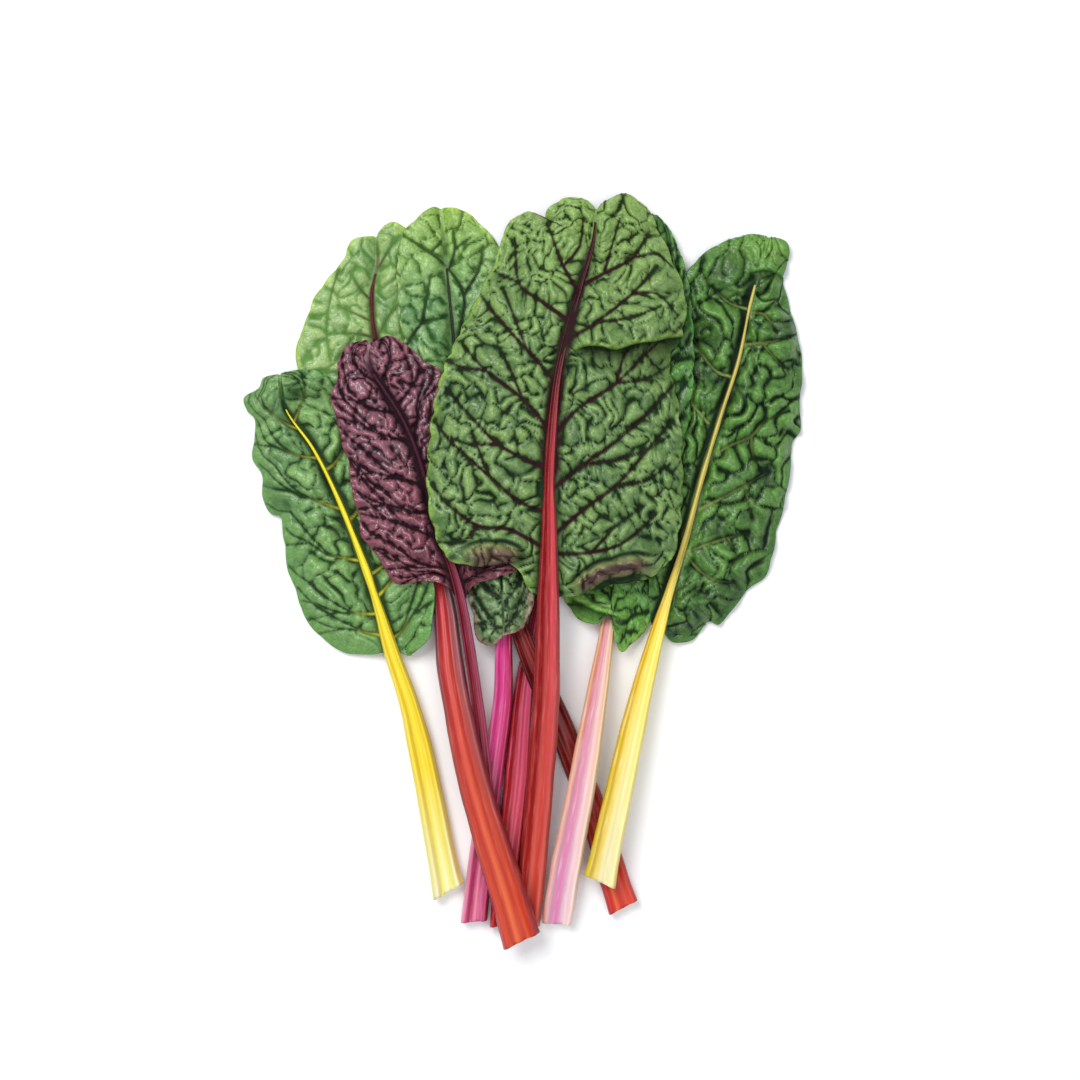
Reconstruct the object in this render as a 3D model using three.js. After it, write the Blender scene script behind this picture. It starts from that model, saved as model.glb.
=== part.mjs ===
// A loose bunch of nine rainbow chard leaves, lying on a flat surface.
// Each leaf is two sub-parts: a stalk, which runs on as the midrib, and a blade on both sides of it.
// Millimetres, +Z up. The leaf tips point along +Y and the cut ends along -Y.
// The origin is on the surface that the bunch lies on, below the middle of its outline.

import * as THREE from "three";
import { mergeVertices } from "three/addons/utils/BufferGeometryUtils.js";

// Driving dimensions
const BLADE_THICKNESS = 2; // a plain stand-in for the puckered sheet, 0.6 mm thick on a real leaf
const CLEARANCE = 0.35; // between a midrib and the blade beside it
const BLADE_LEVEL = 0.8; // the blade meets the midrib at this share of the midrib's depth
const STALK_STEPS = 2; // sections between two points of a spine
const BLADE_ROWS = 15; // steps from the neck of a leaf to its tip
const BLADE_COLUMNS = 4; // steps from the midrib to a margin
const WAVE_COUNT = 4.5; // waves along a margin
const WAVE_HEIGHT = 1.2; // height of those waves above and below the margin line

// Half of a stalk's section, from the middle of its underside round to the middle of its channel:
// [share of the half width, share of the depth]. It is flat below and hollow above.
const HALF_SECTION = [[0.5, 0], [0.92, 0.3], [1, 0.62], [0.74, 1], [0.3, 0.8]];

const STALK_FINISH = { roughness: 0.35, metalness: 0 };
const BLADE_FINISH = { roughness: 0.45, metalness: 0 };

// Each leaf lists:
//   spine: points on the underside of the stalk and midrib, from the cut end to the tip of the leaf,
//          as [x, y, z, width, depth]
//   neck:  the point of the spine where the blade starts
//   ribEnd: the last point of the spine that the midrib reaches
//   arch:  how far the left and the right side of the blade rise between the midrib and the margin
//   left, right: points on the blade's two margins, from the neck to the tip, as [x, y, z]
const LEAVES = [
  {
    name: "left_yellow",
    stalkColour: "#f2d522",
    bladeColour: "#2f5d32",
    spine: [
      [-37, -160, 0, 15, 8.5], [-41.5, -137, 0, 14, 8.5], [-46.5, -111, 0, 13, 8], [-51.5, -87, 1, 12, 7.5],
      [-57, -65, 2.5, 9.5, 7], [-65.5, -40, 4, 7.5, 6], [-72, -18, 5, 5.2, 5], [-80, 6, 5.5, 4.2, 4.6],
      [-92, 36, 6, 3, 4], [-104, 60, 6, 2.5, 3], [-118, 80, 4, 1.8, 1.8], [-122, 93, 2, 1, 1],
    ],
    neck: 5,
    ribEnd: 9,
    arch: [5, 0],
    left: [
      [-76, -42, 4], [-89, -42, 2], [-102.5, -32, 1], [-111.5, -15, 1], [-119, 12, 1], [-129, 37, 1],
      [-135, 62, 1], [-139, 82, 1], [-130, 95, 1],
    ],
    right: [
      [-56, -42, 7], [-46.5, -33, 9], [-44, -15, 11], [-45, 6, 11], [-50, 27, 9], [-58, 50, 8],
      [-69, 70, 8.5], [-84, 88, 8], [-102, 97, 6.5],
    ],
  },
  {
    name: "front_red",
    stalkColour: "#d2322c",
    bladeColour: "#7fae4a",
    spine: [
      [-0.5, -183, 10, 18.5, 9.5], [-8, -157, 13, 18, 9.2], [-15.5, -133, 15, 17.5, 9],
      [-21.5, -113, 15, 16, 8.5], [-26.5, -94, 14.6, 14.5, 8], [-32, -71, 12.5, 11.5, 7.5],
      [-36, -48, 9, 9, 6.8], [-38.5, -22, 4.5, 7.5, 6], [-42, 0, 1.5, 6, 5], [-48, 28, 0, 4.6, 4.2],
      [-56, 60, 0, 3.8, 3.8], [-66, 92, 0, 3.2, 3.4], [-74, 118, 0, 2.8, 3], [-75.5, 138, 0, 2.2, 2.4],
      [-72.5, 154, 0, 1.6, 1.6], [-68.5, 168, 0, 1, 1],
    ],
    neck: 8,
    ribEnd: 13,
    arch: [1, 0.5],
    left: [
      [-51, 3, 3], [-64, 20, 1], [-81, 40, 1], [-98, 65, 1], [-111, 90, 1], [-112, 111, 1],
      [-106, 135, 1], [-96, 151, 1], [-83, 164, 1],
    ],
    right: [
      [-37.5, 3, 3], [-35, 24, 1], [-37, 50, 1], [-41, 76, 1], [-45.5, 102, 1], [-49.5, 130, 1],
      [-54, 149, 1], [-59, 162, 1], [-64, 168, 1],
    ],
  },
  {
    name: "slanting_red",
    stalkColour: "#a81f22",
    bladeColour: "#5f9440",
    spine: [
      [50, -168, 0, 15, 8], [43.5, -148, 0, 14.5, 8], [36, -123, 0, 13.5, 7.5], [27, -99, 0, 13, 7.2],
      [16.5, -72, 3.2, 12, 7], [6.5, -50, 7.4, 11, 6.5], [-3, -26, 5.5, 9, 6], [-10, -6, 2.5, 7, 5.5],
      [-18, 22, 0.5, 5, 4.6], [-26.5, 60, 0.5, 4, 4], [-33, 100, 0.5, 3, 3.2], [-36.5, 134, 0.5, 2.5, 2.5],
      [-39, 160, 0.5, 1.8, 1.8], [-41, 181, 0.5, 1, 1],
    ],
    neck: 7,
    ribEnd: 11,
    arch: [2, 2],
    left: [
      [-19, -8, 6], [-29, 6, 5.5], [-38, 34, 6], [-48, 68, 6], [-56.5, 100, 6], [-61.5, 130, 6],
      [-62.5, 153, 6], [-58.5, 171, 5], [-50, 180.5, 1],
    ],
    right: [
      [-1.5, -6, 5], [10, 15, 2], [16, 50, 1], [14.5, 90, 1], [8.5, 124, 1], [-1.5, 150, 1],
      [-11.5, 162, 1], [-20, 173, 1], [-30, 180.5, 1],
    ],
  },
  {
    name: "pink",
    stalkColour: "#b32a52",
    bladeColour: "#2c5a33",
    spine: [
      [-10.5, -177, 0, 11.5, 8], [-8.5, -152, 0, 11, 8], [-5.5, -127, 0, 10.5, 7.5], [-2.5, -103, 0, 10, 7.2],
      [-0.8, -80, 0, 9.5, 7], [1, -56, 0, 8.5, 6.5], [5, -34, 0, 7.5, 5.8], [9, -14, 3, 6.2, 5],
      [20, 10, 7, 5, 4.5], [33, 42, 8.5, 4.4, 4.2], [44, 75, 8.5, 3.6, 3.6], [53, 105, 8, 3, 3],
      [60.5, 135, 6, 2.4, 2.4], [65, 158, 4, 1.6, 1.6], [66, 178, 2, 1, 1],
    ],
    neck: 7,
    ribEnd: 12,
    arch: [0, 0],
    left: [
      [2, -8, 8], [-1, 14, 9], [4, 50, 10.5], [13, 84, 12], [26, 119, 12], [40, 151, 9], [52, 171, 6],
    ],
    right: [
      [19, -12, 8.5], [33, -4, 10], [56, 12, 10.5], [72.5, 40, 11.5], [82, 75, 11.8], [84.5, 110, 11.8],
      [82.5, 139, 10], [78, 158, 7], [72, 171, 4],
    ],
  },
  {
    name: "white_pink",
    stalkColour: "#f0c4cd",
    bladeColour: "#2f5f34",
    spine: [
      [17, -176, 0, 15, 8.5], [21, -150, 4.4, 15, 8.2], [28.5, -110, 8.8, 14, 8], [34, -78, 8.2, 12, 7.4],
      [38.5, -51, 6, 9.5, 6.8], [42, -29, 3.5, 7, 6], [44, -10, 1.5, 5.4, 5], [46, 20, 0, 4.4, 4.4],
      [48.5, 52, 0, 3.6, 3.6], [51, 85, 0, 2.8, 2.8], [53.5, 112, 0, 1, 1],
    ],
    neck: 5,
    ribEnd: 9,
    arch: [0.5, 0],
    left: [[34, -27, 6], [23, -19, 6], [20.5, -6, 5], [22, 16, 3], [24.5, 44, 1], [31, 75, 1], [41, 100, 1]],
    right: [
      [48.5, -40, 6], [56, -35, 4], [65, -24, 2], [72, -4, 1], [76, 26, 1], [75.5, 60, 1], [71, 88, 1],
      [63, 105, 1],
    ],
  },
  {
    name: "right_yellow",
    stalkColour: "#ead93a",
    bladeColour: "#2e6436",
    spine: [
      [38, -154, 8.8, 15.5, 8.5], [42, -135, 8.8, 14.5, 8.5], [46.5, -115, 8.4, 14, 8], [51.5, -92, 7.5, 13, 8],
      [56.5, -70, 6.8, 11.5, 7.5], [61.5, -50, 6.2, 9.5, 7], [67, -30, 5.8, 7.2, 6], [73, -10, 5.6, 5.6, 5],
      [81, 16, 6, 4.6, 4.5], [89, 46, 7, 3.8, 4], [98, 76, 8, 3.2, 3.5], [107, 104, 8, 2.8, 3],
      [112.5, 130, 7, 2.2, 2.2], [117.5, 149, 5, 1.6, 1.6], [122.5, 166.5, 3, 1, 1],
    ],
    neck: 6,
    ribEnd: 12,
    arch: [0, 6],
    left: [
      [63, -19, 8], [62.5, 6, 6], [65.5, 36, 5], [69, 66, 5], [71.5, 95, 5], [74.5, 125, 5], [81, 147, 4.5],
      [91, 157, 4], [107, 164.5, 3],
    ],
    right: [
      [75, -36, 4], [86, -34, 2], [96, -26, 1], [108.5, -14, 1], [121, -1, 1], [130, 27, 1], [135.5, 58, 1],
      [139.5, 90, 1], [136.5, 114, 1], [131, 141, 1], [132, 161, 2],
    ],
  },
  {
    name: "magenta",
    stalkColour: "#c43a86",
    bladeColour: "#3a7038",
    spine: [
      [-24.4, -175, 0, 13, 8], [-21.6, -150, 0, 12.4, 8], [-17.6, -120, 0, 11.6, 7.6], [-13.6, -92, 0, 10.4, 7.4],
      [-10, -65, 3, 9.6, 7], [-9.5, -42, 8.5, 8.6, 6.4], [-9.5, -22, 11.8, 7, 5.6], [-11, 0, 10.5, 5.6, 5],
      [-13.5, 24, 9, 4.8, 4.4], [-16.5, 52, 8.5, 3.8, 3.8], [-19.5, 82, 8.5, 2.8, 2.8], [-21.5, 110, 8, 1, 1],
    ],
    neck: 6,
    ribEnd: 10,
    arch: [0, 0],
    left: [
      [-15.5, -36, 11], [-22, -35, 10], [-25, -22, 11], [-28, -5, 11], [-31, 16, 11], [-33.5, 42, 10.5],
      [-34, 68, 10], [-32, 90, 9.5], [-27, 104, 9],
    ],
    right: [
      [-2.5, -34, 15.5], [3, -30, 15.5], [6, -16, 15], [5.5, 6, 14.5], [5, 30, 14], [3, 56, 13.5], [-3, 84, 12],
      [-11, 102, 10],
    ],
  },
  {
    name: "purple",
    stalkColour: "#7d1436",
    bladeColour: "#54233a",
    spine: [
      [-16.5, -140, 8.6, 7, 5], [-17.5, -117, 8.8, 6.8, 5], [-19.5, -92, 9, 6.5, 5], [-22.5, -66, 9, 6, 4.8],
      [-26.5, -38, 11, 5.6, 4.6], [-30.5, -15, 14, 5, 4.4], [-35, 2, 15, 4.4, 4.2], [-41, 17, 14.5, 4, 4],
      [-46, 36, 13.5, 3.6, 3.6], [-51.5, 56, 13.5, 3.2, 3.4], [-59.5, 75, 12.5, 2.8, 3], [-69, 90, 11.5, 2.2, 2.4],
      [-77, 103, 9.5, 1.6, 1.6], [-76, 114, 9, 1, 1],
    ],
    neck: 5,
    ribEnd: 11,
    arch: [3.5, 0],
    left: [
      [-37, -8, 18], [-48, -5, 17], [-60, -6.5, 15], [-69, 0, 14], [-78, 15, 14], [-82.5, 36, 13.5],
      [-88, 58, 12.5], [-95, 85, 11.5], [-90, 104, 11],
    ],
    right: [
      [-22, -9, 19.5], [-10, -6, 20], [-2, 0, 19.5], [-12, 9, 18.5], [-28, 14, 16.5], [-36, 34, 14.5], [-39, 58, 13.5],
      [-39, 88, 13], [-43, 101, 13], [-56, 112, 12],
    ],
  },
  {
    name: "central",
    stalkColour: "#b3202a",
    bladeColour: "#3f7a3c",
    spine: [
      [2.2, -178, 0, 12.4, 8.8], [5.8, -138, 3, 13.4, 8.8], [9, -100, 9.5, 13.4, 8.6], [11.5, -65, 14.4, 13, 8],
      [12.2, -38, 15.6, 12, 7.6], [12.6, -13, 17.5, 10.4, 7], [13, 15, 21, 8.8, 6.2], [13.2, 50, 24, 6.8, 5.2],
      [16.5, 90, 25, 5, 4.6], [22, 117, 23.5, 4, 3.8], [28.5, 140, 20.5, 3, 3], [34.5, 161, 16, 2.2, 2.2],
      [37, 183, 11, 1, 1],
    ],
    neck: 5,
    ribEnd: 11,
    arch: [9.5, 10],
    left: [
      [1, -13, 22], [-14, -8, 22.5], [-28, -1, 22.5], [-41, 9, 22.5], [-47, 34, 21], [-46, 66, 18], [-39.5, 98, 17.5],
      [-26.5, 127, 14], [-13, 158, 9], [2, 178, 8], [21, 185, 9],
    ],
    right: [
      [27, -16, 22], [44, -14, 22], [61, -9, 20], [73.5, 5, 17], [78.5, 32, 16], [76, 62, 16], [80, 88, 16],
      [80.5, 112, 16], [78.5, 136, 15], [71, 161, 13], [54, 185, 8],
    ],
  },
];

// A smooth curve through rows of numbers. The first three numbers are a point, and the next two, where
// a row has them, are a width and a depth that change along with it.
function curvesThrough(rows) {
  const curve = (pick) => new THREE.CatmullRomCurve3(rows.map(pick), false, "catmullrom", 0.5);
  return {
    place: curve((row) => new THREE.Vector3(row[0], row[1], row[2])),
    size: curve((row) => new THREE.Vector3(row[3] ?? 0, row[4] ?? 0, 0)),
  };
}

// The stalk or midrib at one point of its spine: where its underside is, which way is left, its width and
// its depth. Nothing goes below the surface that the bunch lies on.
function spineAt(spine, t) {
  const point = spine.place.getPoint(t);
  const along = spine.place.getTangent(t);
  const size = spine.size.getPoint(t);
  point.z = Math.max(point.z, 0);
  return {
    point,
    left: new THREE.Vector3(-along.y, along.x, 0).normalize(),
    width: size.x,
    depth: size.y,
  };
}

// A closed geometry from a list of corner positions, three to a triangle. Corners that meet become one
// vertex, and triangles that have shrunk to a line are left out.
function closedGeometry(corners) {
  const soup = new THREE.BufferGeometry();
  soup.setAttribute("position", new THREE.Float32BufferAttribute(corners.flatMap((p) => p.toArray()), 3));
  const merged = mergeVertices(soup, 1e-3);
  const index = merged.index.array;
  const kept = [];
  for (let i = 0; i < index.length; i += 3) {
    const [a, b, c] = [index[i], index[i + 1], index[i + 2]];
    if (a !== b && b !== c && c !== a) {
      kept.push(a, b, c);
    }
  }
  merged.setIndex(kept);
  merged.computeVertexNormals();
  return merged;
}

// The stalk and midrib: one section after another, from the cut end to the end of the midrib.
function stalkGeometry(leaf) {
  const spine = curvesThrough(leaf.spine);
  const section = [...HALF_SECTION, ...HALF_SECTION.map(([x, z]) => [-x, z]).reverse()];
  const steps = leaf.ribEnd * STALK_STEPS;
  const rings = [];
  for (let step = 0; step <= steps; step += 1) {
    const { point, left, width, depth } = spineAt(spine, step / STALK_STEPS / (leaf.spine.length - 1));
    rings.push(section.map(([across, up]) => point.clone()
      .addScaledVector(left, across * width / 2)
      .add(new THREE.Vector3(0, 0, up * depth))));
  }
  const corners = [];
  const count = section.length;
  for (let step = 0; step < steps; step += 1) {
    for (let i = 0; i < count; i += 1) {
      const j = (i + 1) % count;
      corners.push(rings[step][i], rings[step][j], rings[step + 1][j]);
      corners.push(rings[step][i], rings[step + 1][j], rings[step + 1][i]);
    }
  }
  const outline = section.map(([x, z]) => new THREE.Vector2(x, z));
  for (const [a, b, c] of THREE.ShapeUtils.triangulateShape(outline, [])) {
    corners.push(rings[0][a], rings[0][c], rings[0][b]);
    corners.push(rings[steps][a], rings[steps][b], rings[steps][c]);
  }
  return closedGeometry(corners);
}

// The last row of a blade that leaves a slot for the midrib.
function slotEnd(leaf) {
  return Math.ceil(BLADE_ROWS * (leaf.ribEnd - leaf.neck) / (leaf.spine.length - 1 - leaf.neck));
}

// One side of a blade as rows of points at half its thickness, from the midrib out to the margin.
// side is 1 on the left and -1 on the right.
function bladeSide(leaf, spine, side) {
  const last = leaf.spine.length - 1;
  const innerAt = (row) => {
    const t = (leaf.neck + (last - leaf.neck) * row / BLADE_ROWS) / last;
    const { point, left, width, depth } = spineAt(spine, t);
    const beside = row <= slotEnd(leaf) ? width / 2 + CLEARANCE : 0;
    return point.clone()
      .addScaledVector(left, side * beside)
      .add(new THREE.Vector3(0, 0, depth * BLADE_LEVEL));
  };
  const tip = innerAt(BLADE_ROWS);
  const margin = side > 0 ? leaf.left : leaf.right;
  const arch = leaf.arch[side > 0 ? 0 : 1];
  const outer = curvesThrough([innerAt(0).toArray(), ...margin, tip.toArray()]).place;
  const rows = [];
  for (let row = 0; row <= BLADE_ROWS; row += 1) {
    const along = row / BLADE_ROWS;
    const from = innerAt(row);
    const to = row === BLADE_ROWS ? tip : outer.getPointAt(along);
    const swell = Math.sin(Math.PI * along);
    const wave = WAVE_HEIGHT * Math.sin(2 * Math.PI * WAVE_COUNT * along);
    const points = [];
    for (let column = 0; column <= BLADE_COLUMNS; column += 1) {
      const across = column / BLADE_COLUMNS;
      const point = from.clone().lerp(to, across);
      point.z += swell * (wave * across ** 2 + arch * 4 * across * (1 - across));
      point.z = Math.max(point.z, BLADE_THICKNESS / 2);
      points.push(point);
    }
    rows.push(points);
  }
  return rows;
}

// The blade: its two sides, joined beyond the end of the midrib, with a top, an underside and a rim.
function bladeGeometry(leaf) {
  const spine = curvesThrough(leaf.spine);
  const half = new THREE.Vector3(0, 0, BLADE_THICKNESS / 2);
  const corners = [];
  const quad = (a, b, c, d) => corners.push(a, b, c, a, c, d);
  for (const side of [1, -1]) {
    const rows = bladeSide(leaf, spine, side);
    const upper = rows.map((row) => row.map((point) => point.clone().add(half)));
    const lower = rows.map((row) => row.map((point) => point.clone().sub(half)));
    const face = (a, b, c, d) => (side > 0 ? quad(a, b, c, d) : quad(d, c, b, a));
    for (let row = 0; row < BLADE_ROWS; row += 1) {
      for (let column = 0; column < BLADE_COLUMNS; column += 1) {
        face(upper[row][column], upper[row + 1][column], upper[row + 1][column + 1], upper[row][column + 1]);
        face(lower[row][column], lower[row][column + 1], lower[row + 1][column + 1], lower[row + 1][column]);
      }
      const rim = BLADE_COLUMNS;
      face(upper[row][rim], upper[row + 1][rim], lower[row + 1][rim], lower[row][rim]);
      if (row <= slotEnd(leaf)) {
        face(upper[row + 1][0], upper[row][0], lower[row][0], lower[row + 1][0]);
      }
    }
  }
  return closedGeometry(corners);
}

// The whole bunch, moved so that the middle of its outline is over the origin.
const pile = new THREE.Group();
for (const leaf of LEAVES) {
  const stalk = new THREE.Mesh(
    stalkGeometry(leaf),
    new THREE.MeshStandardMaterial({ color: leaf.stalkColour, ...STALK_FINISH }),
  );
  stalk.name = `${leaf.name}_stalk`;
  const blade = new THREE.Mesh(
    bladeGeometry(leaf),
    new THREE.MeshStandardMaterial({ color: leaf.bladeColour, ...BLADE_FINISH }),
  );
  blade.name = `${leaf.name}_blade`;
  pile.add(stalk, blade);
}
const outline = new THREE.Box3().setFromObject(pile);
const middle = outline.getCenter(new THREE.Vector3());
pile.position.set(-middle.x, -middle.y, -outline.min.z);

const bunch = new THREE.Group();
bunch.add(pile);

export default bunch;
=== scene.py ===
# %% [markdown]
# # A loose bunch of rainbow chard
#
# Nine cut leaves lie in a heap. Each one is a stalk, which runs on into the leaf as its midrib, and a
# puckered blade on both sides of it. Such leaves could be sculpted, or cut from a sheet that a cloth
# simulation lets fall. Here every surface is worked out from a few curves for each leaf, because then the
# blisters, the veins and the colours can all follow the same curves.
#
# The imported CAD model is loaded first. It says where each leaf lies, and the box of one of its stalks
# gives the shift that the finished leaves get.

# %% Load the frame
import bpy
import numpy as np
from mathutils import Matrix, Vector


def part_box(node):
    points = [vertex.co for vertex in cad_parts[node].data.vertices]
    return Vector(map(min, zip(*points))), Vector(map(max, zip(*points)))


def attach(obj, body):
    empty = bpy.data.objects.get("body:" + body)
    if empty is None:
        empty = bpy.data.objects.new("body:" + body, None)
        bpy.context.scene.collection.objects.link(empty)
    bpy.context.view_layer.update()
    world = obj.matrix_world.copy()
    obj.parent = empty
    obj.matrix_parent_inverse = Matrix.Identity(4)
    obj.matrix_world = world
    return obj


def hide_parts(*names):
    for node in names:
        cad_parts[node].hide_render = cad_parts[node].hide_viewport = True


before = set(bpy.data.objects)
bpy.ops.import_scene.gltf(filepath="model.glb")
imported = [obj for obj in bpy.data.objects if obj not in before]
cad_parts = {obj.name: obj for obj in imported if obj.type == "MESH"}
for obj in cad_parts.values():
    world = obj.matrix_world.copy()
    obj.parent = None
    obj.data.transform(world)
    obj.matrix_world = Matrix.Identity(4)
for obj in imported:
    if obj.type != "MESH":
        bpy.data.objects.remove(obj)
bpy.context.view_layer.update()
MM = 0.001  # one millimetre in metres
print("nodes in the frame:", len(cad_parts))

# %% [markdown]
# ## Where the leaves lie
#
# A leaf is described as a grower would lay it out: the line of its spine from the cut end to the tip, and
# the line of each margin, in millimetres. The CAD model is built from nearly the same points, so the fine
# leaf lies where the plain one does, only with more lobes on its margins. A spine point holds x, y and z
# of the underside, the width and the depth, and a margin point holds x, y and z. The blade begins at the
# spine's row `neck`, counted from 0, and the midrib sinks into it at `rib_end`. `arch` is how high the left
# and the right half of the blade swell up. The leaves are listed in the order in which they were put
# down, from the lowest to the one on top.

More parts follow.
